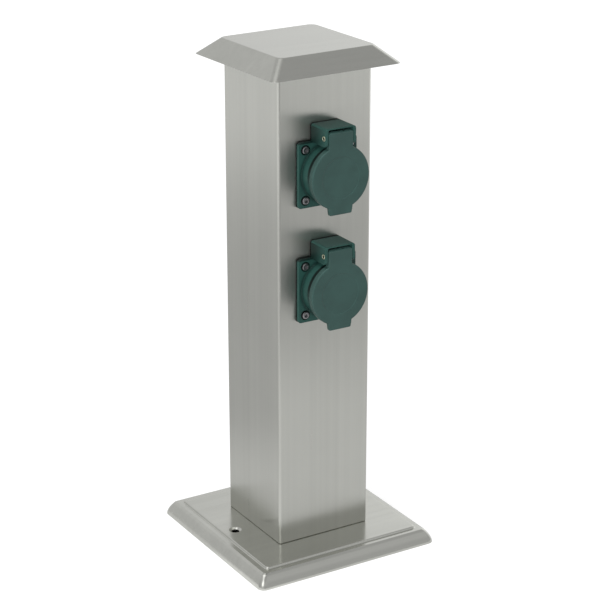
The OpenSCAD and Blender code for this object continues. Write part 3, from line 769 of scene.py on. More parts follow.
@dataclass(frozen=True)
class BrushedSteel(Finish):
    """Brushed stainless sheet: fine lines, coarse lines and broad bands along the grain, and a soft
    cloudiness."""

    grain: Grain = Grain.UPRIGHT
    spread: float = 0.5
    depth: float = 0.05
    coarse_share: ClassVar[float] = 0.16
    band_share: ClassVar[float] = 0.05
    cloud_waves: ClassVar[float] = 14.0
    tone_shares: ClassVar[tuple[float, ...]] = (0.1, 0.25, 0.35, 0.3)
    tone_span: ClassVar[Span] = (0.25, 0.75)
    tone_range: ClassVar[Span] = (0.925, 1.065)
    line_rough: ClassVar[float] = 0.05
    band_rough: ClassVar[float] = 0.08
    cloud_rough: ClassVar[float] = 0.07
    line_height: ClassVar[float] = 0.0002

    def dress(self, g: Graph) -> None:
        """Lines change roughness, colour and height; clouds change roughness a little.

        Args:
            g: The material's nodes.
        """
        at = g.place()
        fine = g.noise(at, self.grain.value, 3.0)
        coarse = g.noise(at, self.grain.scaled(self.coarse_share), 2.0)
        bands = g.noise(at, self.grain.scaled(self.band_share), 2.0)
        cloud = g.noise(at, self.cloud_waves, 3.0)
        lines = fine * 0.5 + coarse * 0.5
        of_fine, of_coarse, of_bands, of_cloud = self.tone_shares
        tone = fine * of_fine + coarse * of_coarse + bands * of_bands + cloud * of_cloud
        rough = self.roughness + lines.sway(self.line_rough) + bands.sway(self.band_rough)
        g.surface(
            Base_Color=self.tinted(g, tone.ramp(*self.tone_span), self.tone_range),
            Metallic=1.0,
            Roughness=rough + cloud.sway(self.cloud_rough),
            Anisotropic=self.spread,
            Normal=g.bump(lines, self.depth, self.line_height),
        )


@dataclass(frozen=True)
class PlainMetal(Finish):
    """Plated or drawn metal with faint stains, and painted shade, nearly black, in and just round a bore
    along X if it has one.
    """

    bore_r: float = 0.0
    bore_at: Triple = (0.0, 0.0, 0.0)
    stain_waves: ClassVar[float] = 300.0
    speck_waves: ClassVar[float] = 2600.0
    stain_span: ClassVar[Span] = (0.3, 0.7)
    stain_range: ClassVar[Span] = (0.85, 1.05)
    stain_rough: ClassVar[float] = 0.2
    speck_rough: ClassVar[float] = 0.1
    speck_depth: ClassVar[float] = 0.08
    bore_edge: ClassVar[float] = 0.9
    bore_shade: ClassVar[float] = 0.02
    speck_height: ClassVar[float] = 0.0001

    def dress(self, g: Graph) -> None:
        """Stains change colour and roughness; within the bore's radius the colour is nearly black, as painted
        shade.

        Args:
            g: The material's nodes.
        """
        at = g.place()
        stain = g.noise(at, self.stain_waves, 4.0)
        speck = g.noise(at, self.speck_waves, 2.0)
        colour = self.tinted(g, stain.ramp(*self.stain_span), self.stain_range)
        if self.bore_r > 0:
            # painted shade: nearly black in and just round the bore
            off_axis = g.vector("MULTIPLY", g.vector("SUBTRACT", at, self.bore_at), (0.0, 1.0, 1.0))
            outside = g.length(off_axis).ramp(self.bore_r * self.bore_edge, self.bore_r)
            colour = g.blend(outside, rgba(self.colour, self.bore_shade), colour)
        g.surface(
            Base_Color=colour,
            Metallic=1.0,
            Roughness=self.roughness + stain.sway(self.stain_rough) + speck.sway(self.speck_rough),
            Normal=g.bump(speck, self.speck_depth, self.speck_height),
        )


@dataclass(frozen=True)
class Moulded(Finish):
    """Moulded plastic with a fine spark-eroded grain."""

    grain_depth: float = 0.12
    gloss: float = 0.45
    grain_waves: ClassVar[float] = 2200.0
    flow_waves: ClassVar[float] = 60.0
    flow_span: ClassVar[Span] = (0.3, 0.7)
    flow_range: ClassVar[Span] = (0.9, 1.1)
    grain_rough: ClassVar[float] = 0.14
    flow_rough: ClassVar[float] = 0.08
    grain_height: ClassVar[float] = 0.0001

    def stained(self, g: Graph, at: Socket, colour: Socket) -> Socket:
        """The colour with painted shade, which a plain moulding doesn't have."""
        return colour

    def dress(self, g: Graph) -> None:
        """A fine grain gives height and roughness, and slow flow marks shift the colour.

        Args:
            g: The material's nodes.
        """
        at = g.place()
        grain = g.noise(at, self.grain_waves, 2.0)
        flow = g.noise(at, self.flow_waves, 3.0)
        colour = self.tinted(g, flow.ramp(*self.flow_span), self.flow_range)
        g.surface(
            Base_Color=self.stained(g, at, colour),
            Roughness=self.roughness + grain.sway(self.grain_rough) + flow.sway(self.flow_rough),
            Specular_IOR_Level=self.gloss,
            Normal=g.bump(grain, self.grain_depth, self.grain_height),
        )


@dataclass(frozen=True)
class GrimyMoulded(Moulded):
    """Moulded plastic of a socket's housing, with painted shade in the corner between flange and collar, on
    the collar under the lid's rim, round the screws' heads and on the hood's sides towards the post.
    Sizes are in metres; those of one socket are filled in by it."""

    socket_z: float = 0.0
    collar_r: float = 0.0
    root_out: float = 0.0
    screw_at: float = 0.0
    sink_r: float = 0.0
    cheek_at: float = 0.0
    cheek_low: float = 0.0
    cheek_out: float = 0.0235
    rim_out: float = 0.0126
    shade: float = 0.05
    corner_grime: ClassVar[float] = 0.62
    corner_wide: ClassVar[float] = 0.003
    corner_deep: ClassVar[float] = 0.004
    rim_grime: ClassVar[float] = 0.94
    rim_rise: ClassVar[float] = 0.0014
    rim_fall: ClassVar[Span] = (0.0018, 0.0032)
    rim_heights: ClassVar[Span] = (-0.014, 0.008)
    outside_wall: ClassVar[Span] = (0.0002, 0.0006)
    inside_wall: ClassVar[Span] = (-0.0012, -0.0006)
    sink_grime: ClassVar[float] = 0.85
    cheek_grime: ClassVar[float] = 0.75
    soft: ClassVar[float] = 0.0002
    cheek_soft: ClassVar[float] = 0.0005

    def on_collar(self, reach: Socket, out: Socket, up: Socket) -> Socket:
        """Painted shade at the collar's root and in a ring under the lid's rim, none inside the recess.

        Args:
            reach: Distance from the socket's axis.
            out: Distance from the post's front.
            up: Height above the axis.

        Returns:
            The share of the colour that the painted shade covers.
        """
        r, root, rim = self.collar_r, self.root_out, self.rim_out
        # painted shade in the corner where the collar meets the flange
        beside = 1 - reach.ramp(r, r + self.corner_wide)
        corner = beside * (1 - out.ramp(root, root + self.corner_deep)) * self.corner_grime
        # painted shade in a ring on the collar under the lid's rim
        fall_from, fall_to = self.rim_fall
        ring = out.ramp(rim - self.rim_rise, rim) * (1 - out.ramp(rim + fall_from, rim + fall_to))
        on_wall = 1 - reach.ramp(*(r + d for d in self.outside_wall))
        under_rim = ring * on_wall * (up.ramp(*self.rim_heights) * self.rim_grime)
        return corner.most(under_rim) * reach.ramp(*(r + d for d in self.inside_wall))

    def stained(self, g: Graph, at: Socket, colour: Socket) -> Socket:
        """Darkens the colour as painted shade, by the distance from the socket's axis, from the post's front
        and from the screws' axes.

        Args:
            g: The material's nodes.
            at: The place.
            colour: The unshaded colour.

        Returns:
            The colour with the painted shade.
        """
        off = g.vector("SUBTRACT", at, (0.0, 0.0, self.socket_z))
        flat = g.vector("MULTIPLY", off, (1.0, 0.0, 1.0))
        out, up = g.dot(off, OUTWARDS) - POST_HALF * MM, g.dot(off, UPWARDS)
        cover = self.on_collar(g.length(flat), out, up)
        one_corner = g.vector("ABSOLUTE", flat)
        off_screw = g.length(g.vector("SUBTRACT", one_corner, (self.screw_at, 0.0, self.screw_at)))
        # painted shade in the screws' sinks round their heads
        in_sink = 1 - off_screw.ramp(self.sink_r, self.sink_r + self.soft)
        # painted shade on the hood's cheeks towards the post
        cheek = g.dot(one_corner, RIGHT).ramp(self.cheek_at - self.soft, self.cheek_at)
        cheek = cheek * up.ramp(self.cheek_low - self.cheek_soft, self.cheek_low)
        cheek = cheek * (1 - out.ramp(self.root_out, self.cheek_out))
        cover = cover.most(in_sink * self.sink_grime).most(cheek * self.cheek_grime)
        return g.blend(cover, colour, rgba(self.colour, self.shade))


@dataclass(frozen=True)
class GrimyLid(Moulded):
    """Moulded plastic of a lid, with painted shade, nearly black, on the rim's back edge. Sizes are in
    metres.
    """

    edge_out: float = 0.0176
    edge_soft: ClassVar[float] = 0.0006
    shade: ClassVar[float] = 0.006

    def stained(self, g: Graph, at: Socket, colour: Socket) -> Socket:
        """Darkens the colour behind a distance from the post's front, as painted shade.

        Args:
            g: The material's nodes.
            at: The place.
            colour: The unshaded colour.

        Returns:
            The colour with the painted shade.
        """
        out = g.dot(at, OUTWARDS) - POST_HALF * MM
        # painted shade, nearly black, on the rim's back edge behind this distance
        unshaded = out.ramp(self.edge_out, self.edge_out + self.edge_soft)
        return g.blend(unshaded, rgba(WHITE, self.shade), colour)


@dataclass(frozen=True)
class Rubber(Finish):
    """Matt black rubber with a dusty bloom."""

    gloss: ClassVar[float] = 0.12
    bloom_waves: ClassVar[float] = 180.0
    bloom_span: ClassVar[Span] = (0.35, 0.75)
    bloom_range: ClassVar[Span] = (0.8, 1.6)
    bloom_rough: ClassVar[float] = 0.15
    bloom_depth: ClassVar[float] = 0.1
    bloom_height: ClassVar[float] = 0.0002

    def dress(self, g: Graph) -> None:
        """Bloom lightens the colour in patches.

        Args:
            g: The material's nodes.
        """
        bloom = g.noise(g.place(), self.bloom_waves, 4.0)
        g.surface(
            Base_Color=self.tinted(g, bloom.ramp(*self.bloom_span), self.bloom_range),
            Roughness=self.roughness + bloom.sway(self.bloom_rough),
            Specular_IOR_Level=self.gloss,
            Normal=g.bump(bloom, self.bloom_depth, self.bloom_height),
        )


STEEL: Triple = (0.60, 0.605, 0.566)
PRESSED: Triple = (0.645, 0.65, 0.608)
TUBE_STEEL = BrushedSteel("stainless", STEEL, 0.30, Grain.UPRIGHT, 0.88, 0.02)
SHEET_STEEL = BrushedSteel("stainless", PRESSED, 0.19, Grain.SIDEWAYS, 0.0, 0.02)
CAP_STEEL = BrushedSteel("stainless", STEEL, 0.24, Grain.SIDEWAYS, 0.0, 0.03)
ZINC = PlainMetal("zinc", (0.55, 0.56, 0.58), 0.36)
SCREW_STEEL = PlainMetal("screw_steel", (0.36, 0.36, 0.37), 0.42)
PIN_METAL = PlainMetal("pin_metal", (0.78, 0.80, 0.60), 0.34)
SPRING_WIRE = PlainMetal("spring_wire", (0.45, 0.45, 0.46), 0.32)
BRASS = PlainMetal("brass", (0.72, 0.52, 0.22), 0.32)
GREEN = GrimyMoulded("green_plastic", (0.0235, 0.0755, 0.064), 0.42, 0.12, 0.32)
LID_GREEN = GrimyLid("green_plastic", (0.034, 0.079, 0.070), 0.45, 0.16, 0.45)
DARK_GREEN = Moulded("dark_green_plastic", (0.030, 0.062, 0.054), 0.46)
CREAM = Moulded("cream_plastic", (0.75, 0.71, 0.58), 0.45)
BLACK = Rubber("rubber", (0.006, 0.006, 0.006), 0.75)
BROWN_WIRE = Moulded("brown_wire", (0.16, 0.07, 0.03), 0.36, 0.04)
BLUE_WIRE = Moulded("blue_wire", (0.02, 0.08, 0.33), 0.36, 0.04)
EARTH_WIRE = Moulded("earth_wire", (0.20, 0.38, 0.04), 0.36, 0.04)


# Sub-assemblies


@dataclass
class Stand:
    """The sheet-metal stand: base plate, tube and cap, in millimetres. The fixing holes' dish is a
    profile of radius and drop below the panel, and the cap's lip one of steps in from its side and
    up from its cut edge."""

    base_half: float = 79.75
    rim_half: float = 73.65
    panel_half: float = 68.25
    panel_z: float = 12.2
    rim_z: float = 10.6
    base_t: float = 1.5
    skirt_ease: float = 1.6
    skirt_inside: float = 0.94
    skirt_outside: float = 0.93
    base_corner: float = 6.0
    panel_corner: float = 3.0
    ledge_in: float = 0.3
    rim_bend: float = 1.0
    rim_bend_from: float = 40.0
    step_r: float = 0.8
    fix_x: float = 57.5
    fix_dish: Profile = ((5.2, 0.0), (4.9, 0.04), (4.5, 0.2), (3.5, 0.8), (3.15, 1.05), (3.0, 1.25))
    bolt_in: float = 30.05
    bolt_side: float = 14.0
    bolt_hole_r: float = 2.75
    grommet_hole_r: float = 10.0
    grommet_sides: int = 64
    tube_top: float = 398.8
    tube_wall: float = 1.2
    tube_corner: float = 2.2
    foot_round: float = 0.9
    cap_top: float = 400.0
    cap_low: float = 386.8
    cap_half: float = 56.5
    cap_top_half: float = 42.0
    cap_t: float = 1.2
    cap_corner: float = 5.5
    cap_turn: float = 2.0
    cap_bend: float = 1.6
    cap_nick: float = 0.25
    cap_lip: Profile = ((0.4, 0.0), (0.125, 0.0875))

    def skirt(self, half: float, top: float, shares: Array) -> list[Triple]:
        """Stations of the sloped skirt: it draws in with a power of the height's share.

        Args:
            half: Half width at the ground.
            top: Height of the skirt's full rise.
            shares: Shares of that rise.

        Returns:
            Stations of half width, height and corner radius.
        """
        run = self.base_half - self.rim_half
        drawn = half - run * shares**self.skirt_ease
        corner = self.base_corner + (self.panel_corner - self.base_corner) * shares
        return list(zip(drawn, top * shares, corner))

    def bolts(self) -> list[Span]:
        """Places of the bolts: two at either side and one at the back."""
        sides = [(x * self.bolt_in, y * self.bolt_side) for x in (-1, 1) for y in (-1, 1)]
        return sides + [(0.0, self.bolt_in)]

    def base(self) -> Surface:
        """The base plate: rings from under the panel, down inside the skirt, round its edge, up
        outside it, over the ledge and the step to the panel, with the fixing holes sunk into it.

        Returns:
            The closed sheet.
        """
        top, under, r, step = self.panel_z, self.panel_z - self.base_t, self.panel_corner, self.step_r
        ledge_under = self.rim_z - self.base_t
        turn, bend = quarter_turn(6), np.radians(np.linspace(self.rim_bend_from, 90, 5))
        s, c = 1 - np.sin(turn), 1 - np.cos(turn)
        bent_in, bent_down = (self.rim_bend * (1 - wave(bend)) for wave in (np.cos, np.sin))
        inside = ((self.base_t, under), (self.ledge_in, ledge_under))
        rows = [(self.panel_half - d, z, r / 2) for d, z in inside]
        rows += self.skirt(self.base_half - self.base_t, ledge_under, np.linspace(self.skirt_inside, 0, 9))
        rows += self.skirt(self.base_half, self.rim_z, np.linspace(0, self.skirt_outside, 12))
        rows += [(self.rim_half - x, self.rim_z - z, r) for x, z in zip(bent_in, bent_down)]
        rows += [(self.panel_half + step * x, self.rim_z + step * z, r) for x, z in zip(s, c)]
        rows += [(self.panel_half - step * x, top - step * z, r) for x, z in zip(c[1:], s[1:])]
        sunk = tuple((r, top - drop) for r, drop in self.fix_dish) + ((self.fix_dish[-1][0], under),)
        holes = [Hole(side * self.fix_x, 0.0, sunk) for side in (-1, 1)]
        holes += [Hole.straight(x, y, self.bolt_hole_r, top, under, BORE_SIDES) for x, y in self.bolts()]
        holes.append(Hole.straight(0.0, 0.0, self.grommet_hole_r, top, under, self.grommet_sides))
        return holed_plate(square_rings(rows), holes)

    def tube(self) -> Surface:
        """The square tube: a bent sheet from one end of the front wall round to the other, and the
        front wall with its cut-outs between them. The sheet's foot is slightly rounded.

        Returns:
            The closed sheet.
        """
        low, high, f, wall = self.panel_z, self.tube_top, self.foot_round, self.tube_wall
        outer, inner = (np.roll(rounded_square(POST_HALF - d, self.tube_corner - d), CORNER_POINTS, axis=0)
                        for d in (0.0, wall))
        turn = quarter_turn(4)
        share = np.concatenate([[0.0, 0.0, 1.0], 1 - f * (1 - np.cos(turn)) / wall])
        level = np.concatenate([[low, high, high], low + f * (1 - np.sin(turn))])
        flat = inner[:, None] + share[None, :, None] * (outer - inner)[:, None]
        grid = np.concatenate([flat, np.broadcast_to(level[None, :, None], flat.shape[:2] + (1,))], -1)
        ends = lattice(grid[[-1, 0]])
        kept = ~np.isin(ends.quads[:, 0] % len(share), [0, 2])
        ends = Surface(ends.points, ends.quads[kept])
        cuts = [cut for socket in SOCKETS for cut in socket.tube_holes(wall)]
        front = joined([cut.surface() for cut in cuts])
        edge = POST_HALF - self.tube_corner
        for index, depth, bottom in ((0, 0.0, low + f), (-1, -wall, low)):
            loops = [rectangle(-edge, edge, bottom, high)] + [cut.mouth(index) for cut in cuts]
            front = front + filled(loops, depth)
        return joined([lattice(grid), ends, front.mapped(on_front(0.0))])

    def cap(self) -> Surface:
        """The pressed cap: rings from under its top, down inside the slope, round the cut edge and
        up outside it, over the bend to the flat top. It sits slightly turned on the tube.

        Returns:
            The closed sheet.
        """
        half, low, r, nick = self.cap_half, self.cap_low, self.cap_corner, self.cap_nick
        run, rise = half - self.cap_top_half, self.cap_top - low
        tilt = math.atan2(rise, run)
        ease = self.cap_bend * math.tan(tilt / 2)
        back = self.cap_t / math.sin(tilt)
        inner_top = self.cap_top_half + self.cap_t * run / rise - back
        turn = np.linspace(0, tilt, 7)[::-1]
        bend_half = self.cap_top_half - ease + self.cap_bend * np.sin(turn)
        bend_z = self.cap_top - self.cap_bend * (1 - np.cos(turn))
        rows = [(inner_top, self.cap_top - self.cap_t, r / 2), (half - back, low, r / 2)]
        rows += [(half - in_by, low + up_by, r) for in_by, up_by in self.cap_lip]
        rows.append((half - nick * run / rise, low + nick, r))
        rows += [(wide, z, r) for wide, z in zip(bend_half, bend_z)]
        return holed_plate(square_rings(rows, self.cap_turn))

    def build(self) -> None:
        """Makes the three sheets."""
        set_piece("base_plate_pressed", made_mesh("base", self.base()), SHEET_STEEL, Body.POST, "base_plate")
        set_piece("post_tube_brushed", made_mesh("tube", self.tube()), TUBE_STEEL, Body.POST, "post_tube")
        set_piece("post_cap_pressed", made_mesh("cap", self.cap()), CAP_STEEL, Body.POST, "post_cap")


@dataclass
class FlangeSocket:
    """One splash-proof socket with its hinged lid, in millimetres in its own frame. Profiles are
    pairs of radius and height: the screw's and key's from the seat of the head, the flare's from the
    pin's bore and the hood's cheek, and the panel edge's from the lid's face."""

    place: str
    height: float
    body: Body

    # Flange, gasket and screws
    flange_half: float = 25.235
    flange_r: float = 2.5
    flange_front: float = 3.8
    flange_round: float = 0.6
    flange_back_round: float = 0.2
    gasket_t: float = 1.2
    gasket_round: float = 0.3
    screw_at: float = 19.235
    screw_hole_r: float = 1.7
    sink_r: float = 3.6
    sink_break: float = 0.2
    sink: float = 1.0
    screw_profile: Profile = (
        (0.0, -9.5), (1.3, -9.5), (1.5, -9.2), (1.5, 0.0), (2.7, 0.0), (2.8, 0.15), (2.8, 1.85),
        (2.62, 2.1), (2.4, 2.2), (1.62, 2.2))
    key_profile: Profile = ((1.25, 2.05), (1.25, 0.8), (0.0, 0.65))
    screw_sides: int = 48

    # Collar, barrel and recess
    collar_r: float = 22.5
    collar_fillet: float = 0.6
    collar_lip: float = 0.5
    collar_front: float = 16.5
    barrel_gap: float = 0.25
    barrel_back: float = -9.6
    recess_r: float = 19.75
    recess_floor: float = -1.0
    seat_r: float = 20.5
    rib_half: float = 2.3
    rib_depth: float = 1.8
    rib_root: float = 0.6
    rib_top: float = 14.0
    rib_round: float = 0.4

    # Hood
    hood_half: float = 13.0
    hood_in: float = 10.5
    hood_r: float = 2.2
    arch_r: float = 1.2
    hood_out: float = 22.0
    hood_edge: float = 0.5
    hood_root: float = 1.0
    hood_least: float = 0.5
    hood_straight: float = 1.5
    roof_top: float = 38.0
    roof_under: float = 37.0
    cheek_low: float = 24.2
    cheek_r: float = 2.5
    cheek_skin: float = 0.1

    # Hinge
    hinge_up: float = 30.55
    hinge_out: float = 19.3
    pin_r: float = 1.3
    pin_bore: float = 1.0
    pin_well: float = 3.0
    # how far the painted shade reaches past the pin's bore
    pin_grease: float = 0.2
    pin_flare: Profile = (
        (0.0, -0.3), (0.15, 0.2), (0.35, 0.38), (0.65, 0.4), (0.85, 0.32), (0.95, 0.15), (0.95, 0.02))
    pin_sides: int = 40
    press_gap: float = 0.02
    turn_gap: float = 0.05
    bore_half: float = 20.0

    # Lid and seal
    lid_r: float = 24.6
    lid_wall: float = 1.8
    lid_front: float = 22.5
    lid_back: float = 17.5
    plate_in: float = 20.3
    lid_edge: float = 1.2
    rim_round: float = 0.35
    rim_in_round: float = 0.25
    panel_r: float = 15.55
    panel_sink: float = 0.3
    panel_fillet: float = 0.25
    panel_edge: Profile = ((16.1, -0.04), (16.3, 0.0))
    seal_r: float = 21.125
    seal_nose: float = 1.0
    seal_gap: float = 0.2
    seal_rib_in: float = 1.1
    seal_rib_t: float = 1.2
    seal_rib_low: float = 18.5
    seal_rib_break: float = 0.2

    # Tongue and thumb tab
    flush: float = 0.02
    tongue_half: float = 10.25
    tongue_r: float = 2.2
    tongue_edge: float = 0.5
    tongue_back: float = 18.3
    tongue_core: Span = (-2.9, 0.7)
    knuckle_r: float = 4.7
    bridge_from: float = 18.0
    bridge_up: float = 26.0
    bridge_down: float = 25.5
    bridge_in: float = 0.5
    bridge_round: float = 0.45
    tab_half: float = 10.2
    tab_end: float = 9.55
    tab_from: float = 22.0
    tab_reach: float = 28.0
    tab_back: float = 19.1
    tab_r: float = 1.2
    tab_taper: float = 5.0
    tab_back_round: float = 0.4
    tab_front_round: float = 0.6

    # Spring and the room for it
    coil_r: float = 1.85
    coil_turns: float = 5.25
    coil_len: float = 6.0
    coil_steps: int = 20
    wire_r: float = 0.3
    wire_sides: int = 10
    lid_leg: float = 5.2
    room_back: float = 8.0
    room_half: float = 4.1
    room_up: float = 2.6
    room_out: float = 2.4
    room_round: float = 0.3
    slit_half: float = 0.7
    slit_up: float = 9.4
    slit_out: float = 2.2

    def corners(self) -> list[Span]:
        """Places of the four flange screws."""
        return [(x * self.screw_at, y * self.screw_at) for x in (-1, 1) for y in (-1, 1)]

    def face(self) -> float:
        """Front of what joins the lid's face, a hair behind it so that the two don't coincide."""
        return self.lid_front - self.flush

    def screw_holes(self, front: float, back: float, up: float = 0.0) -> list[Hole]:
        """Plain holes for the flange screws, the whole set moved up by a distance."""
        return [Hole.straight(x, up + y, self.screw_hole_r, front, back, SCREW_HOLE_SIDES)
                for x, y in self.corners()]

    def tube_holes(self, wall: float) -> list[Hole]:
        """The tube's cut-outs for barrel and screws, at the socket's height."""
        barrel = Hole.straight(0.0, self.height, self.collar_r + self.barrel_gap, 0.0, -wall, SIDES)
        return [barrel] + self.screw_holes(0.0, -wall, self.height)

    def on_hinge(self, profile: Sequence[Sequence[float]], sides: int) -> Surface:
        """A profile of (radius, place along X) turned about the hinge line."""
        return revolved(profile, sides).mapped(
            lambda p: np.stack([p[:, 2], self.hinge_up + p[:, 0], self.hinge_out + p[:, 1]], -1))

    def bore(self, gap: float) -> Surface:
        """A rod along the hinge line, for the hole round the pin with a gap."""
        r, half = self.pin_r + gap, self.bore_half
        return self.on_hinge([(0, -half), (r, -half), (r, half), (0, half)], BORE_SIDES)

    def outline(self) -> Array:
        """Outline of flange and hood together: a square with round corners and a narrower block
        with round upper corners standing on it.

        Returns:
            Points, anticlockwise from the lower right corner.
        """
        f, r, h, q = self.flange_half, self.flange_r, self.hood_half, self.hood_r
        return np.concatenate([
            arc(f - r, r - f, r, 270, 360), arc(f - r, f - r, r, 0, 90), [[h, f]],
            arc(h - q, self.roof_top - q, q, 0, 90), arc(q - h, self.roof_top - q, q, 90, 180), [[-h, f]],
            arc(r - f, f - r, r, 90, 180), arc(r - f, r - f, r, 180, 270),
        ])

    def body_shell(self) -> Surface:
        """Flange with collar and barrel: a plate whose middle hole has a wall that rises as the
        collar, turns over its rim, runs down the recess and returns outside the barrel.

        Returns:
            The closed surface.
        """
        fillet, lip, c = self.collar_fillet, self.collar_lip, self.collar_r
        front, rim, back = self.flange_front, self.collar_front, self.gasket_t
        wall = np.concatenate([
            arc(c + fillet, front + fillet, fillet, 270, 180, 5),
            arc(c - lip, rim - lip, lip, 0, 90, 5),
            arc(self.recess_r + lip, rim - lip, lip, 90, 180, 5),
            [[self.recess_r, self.recess_floor], [self.seat_r, self.recess_floor]],
            [[self.seat_r, self.barrel_back], [c, self.barrel_back], [c, back]],
        ])
        seat, r = front - self.sink, self.screw_hole_r
        sunk = ((self.sink_r + self.sink_break, front), (self.sink_r, front - self.sink_break),
                (self.sink_r, seat), (r, seat), (r, back))
        holes = [Hole(x, y, sunk) for x, y in self.corners()]
        holes.append(Hole(0.0, 0.0, tuple(map(tuple, wall.tolist())), SIDES))
        return slab(self.outline(), back, front, self.flange_back_round, self.flange_round, holes)

    def hood(self) -> Surface:
        """The hood: a strip section with rounded front edges carried along an upside-down U, from
        one cheek's lower end over the roof to the other's. Towards the lower ends the front edge
        draws back along a quarter circle.

        Returns:
            The closed surface.
        """
        h, i, q, k = self.hood_half, self.hood_in, self.hood_r, self.arch_r
        foot = self.cheek_low + self.cheek_r * (1 - np.cos(quarter_turn(9)))
        rise = np.concatenate([foot, [self.roof_top - q - self.hood_straight]])
        left = [np.stack([np.full(len(rise), -x), rise], -1) for x in (h, i)]
        bends = [arc(q - h, self.roof_top - q, q, 180, 90, 9), arc(k - i, self.roof_under - k, k, 180, 90, 9)]
        sides = [np.concatenate([a, b]) for a, b in zip(left, bends)]
        outer, inner = (np.concatenate([s, s[::-1] * [-1, 1]]) for s in sides)
        drop = np.clip((self.cheek_low + self.cheek_r - outer[:, 1]) / self.cheek_r, 0, 1)
        front = self.hood_out - self.cheek_r * (1 - np.sqrt(1 - drop**2))
        across = inner - outer
        across /= np.linalg.norm(across, axis=1)[:, None]
        e, root = self.hood_edge, self.gasket_t + self.hood_root
        least, rooted = root + self.hood_least, np.full(len(outer), root)
        loop = [(outer, rooted)]
        steps = [(e * (1 - math.cos(t)), e * (1 - math.sin(t))) for t in quarter_turn(4)]
        loop += [(outer + across * d, np.maximum(front - z, least)) for d, z in steps]
        loop += [(inner - across * d, np.maximum(front - z, least)) for z, d in steps]
        loop += [(inner, rooted)]
        grid = np.stack([np.column_stack([flat, z]) for flat, z in loop], 1)
        return closed_run(grid, [grid[row].mean(0) for row in (0, -1)])

    def ribs(self) -> list[Surface]:
        """The two guide ribs of the plug recess, rounded at their outer ends.

        Returns:
            Two closed surfaces.
        """
        reach, half = (self.recess_r - self.rib_depth, self.recess_r + self.rib_root), self.rib_half
        boxes = [rectangle(*sorted(side * x for x in reach), -half, half) for side in (-1, 1)]
        return [slab(box, self.recess_floor, self.rib_top, SHARP_EDGE, self.rib_round) for box in boxes]

    def housing(self) -> bpy.types.Mesh:
        """The whole moulded housing, with the bore for the hinge pin."""
        joins, cuts = [self.hood()] + self.ribs(), [self.bore(self.press_gap)]
        return fused_mesh("housing", self.body_shell(), joins, cuts)

    def lid_disc(self) -> Surface:
        """The lid's round shell: a face with a shallow round panel, a rounded edge, the rim, and
        the rib inside that locates the seal.

        Returns:
            The closed surface.
        """
        f, b, p, e = self.lid_front, self.lid_back, self.plate_in, self.lid_edge
        panel, fillet, sunk = self.panel_r, self.panel_fillet, self.lid_front - self.panel_sink
        outer, inner, wall = self.rim_round, self.rim_in_round, self.lid_r - self.lid_wall
        rib_out, low, nip = self.seal_r - self.seal_rib_in, self.seal_rib_low, self.seal_rib_break
        rib_in = rib_out - self.seal_rib_t
        profile = np.concatenate([
            [[0, sunk], [panel, sunk]],
            arc(panel, sunk + fillet, fillet, 270, 330, 4),
            [[r, f + z] for r, z in self.panel_edge],
            arc(self.lid_r - e, f - e, e, 90, 0, 9),
            arc(self.lid_r - outer, b + outer, outer, 0, -90, 4),
            arc(wall + inner, b + inner, inner, 270, 180, 4),
            [[wall, p], [rib_out, p], [rib_out, low + nip], [rib_out - nip, low]],
            [[rib_in + nip, low], [rib_in, low + nip], [rib_in, p], [0, p]],
        ])
        return revolved(profile, LID_SIDES)

    def tongue_columns(self) -> Array:
        """Places across the tongue's width and how far the section draws in there, which rounds
        the tongue's two side edges.

        Returns:
            Pairs of place and distance drawn in.
        """
        half, e, flat = self.tongue_half, self.tongue_edge, self.tongue_half - self.tongue_r
        turn = quarter_turn(5)
        edge = np.stack([half - e * (1 - np.sin(turn)), e * (1 - np.cos(turn))], -1)
        bend, middle = (
            np.stack([x, np.zeros_like(x)], -1)
            for x in (np.linspace(flat, half - e, 8)[1:-1], np.linspace(-flat, flat, 9)))
        right = np.concatenate([bend, edge])
        return np.concatenate([right[::-1] * [-1, 1], middle, right])

    def tongue(self) -> Surface:
        """The tongue: its side section, a strip that ends in a round knuckle flattened to the
        lid's face, carried across the width. Its root follows the round rim, and towards both
        sides its top is held under a quarter circle.

        Returns:
            The closed surface.
        """
        face, back, r = self.face(), self.tongue_back, self.tongue_r
        start, foot = (
            math.degrees(math.acos((z - self.hinge_out) / self.knuckle_r)) for z in (face, back))
        head = arc(self.hinge_out, self.hinge_up, self.knuckle_r, start, 360 - foot, 28)
        rows = []
        for x, d in self.tongue_columns():
            root = math.sqrt((self.lid_r - self.lid_wall / 2) ** 2 - x**2)
            bend = max(abs(x) - self.tongue_half + r, 0.0)
            top = self.hinge_up + self.knuckle_r - r + math.sqrt(r**2 - bend**2)
            section = np.concatenate([[[back, root], [face, root]], head])
            if d > 0:
                section = inset(section, d)
                section[:2, 1] = root
            section[:, 1] = np.minimum(section[:, 1], top)
            rows.append(np.column_stack([np.full(len(section), x), section[:, 1], section[:, 0]]))
        grid = np.stack(rows)
        core = np.add((self.hinge_up, self.hinge_out), self.tongue_core)
        return closed_run(grid, [np.array([grid[row, 0, 0], *core]) for row in (0, -1)])

    def face_bridges(self) -> list[Surface]:
        """Thin plates in the lid's face that carry it out over the rounded edge into the tongue
        and the thumb tab.

        Returns:
            Two closed surfaces.
        """
        near, far, t = self.bridge_from, self.bridge_down, self.tongue_half - self.flush
        slope = (self.tab_half - self.tab_end) / (self.tab_reach - self.tab_from)
        wide, narrow = (self.tab_half - slope * (y - self.tab_from) - self.flush for y in (near, far))
        up = rectangle(-t, t, near, self.bridge_up)
        down = np.array([[-narrow, -far], [narrow, -far], [wide, -near], [-wide, -near]])
        low = self.plate_in + self.bridge_in
        return [slab(plate, low, self.face(), SHARP_EDGE, self.bridge_round) for plate in (up, down)]

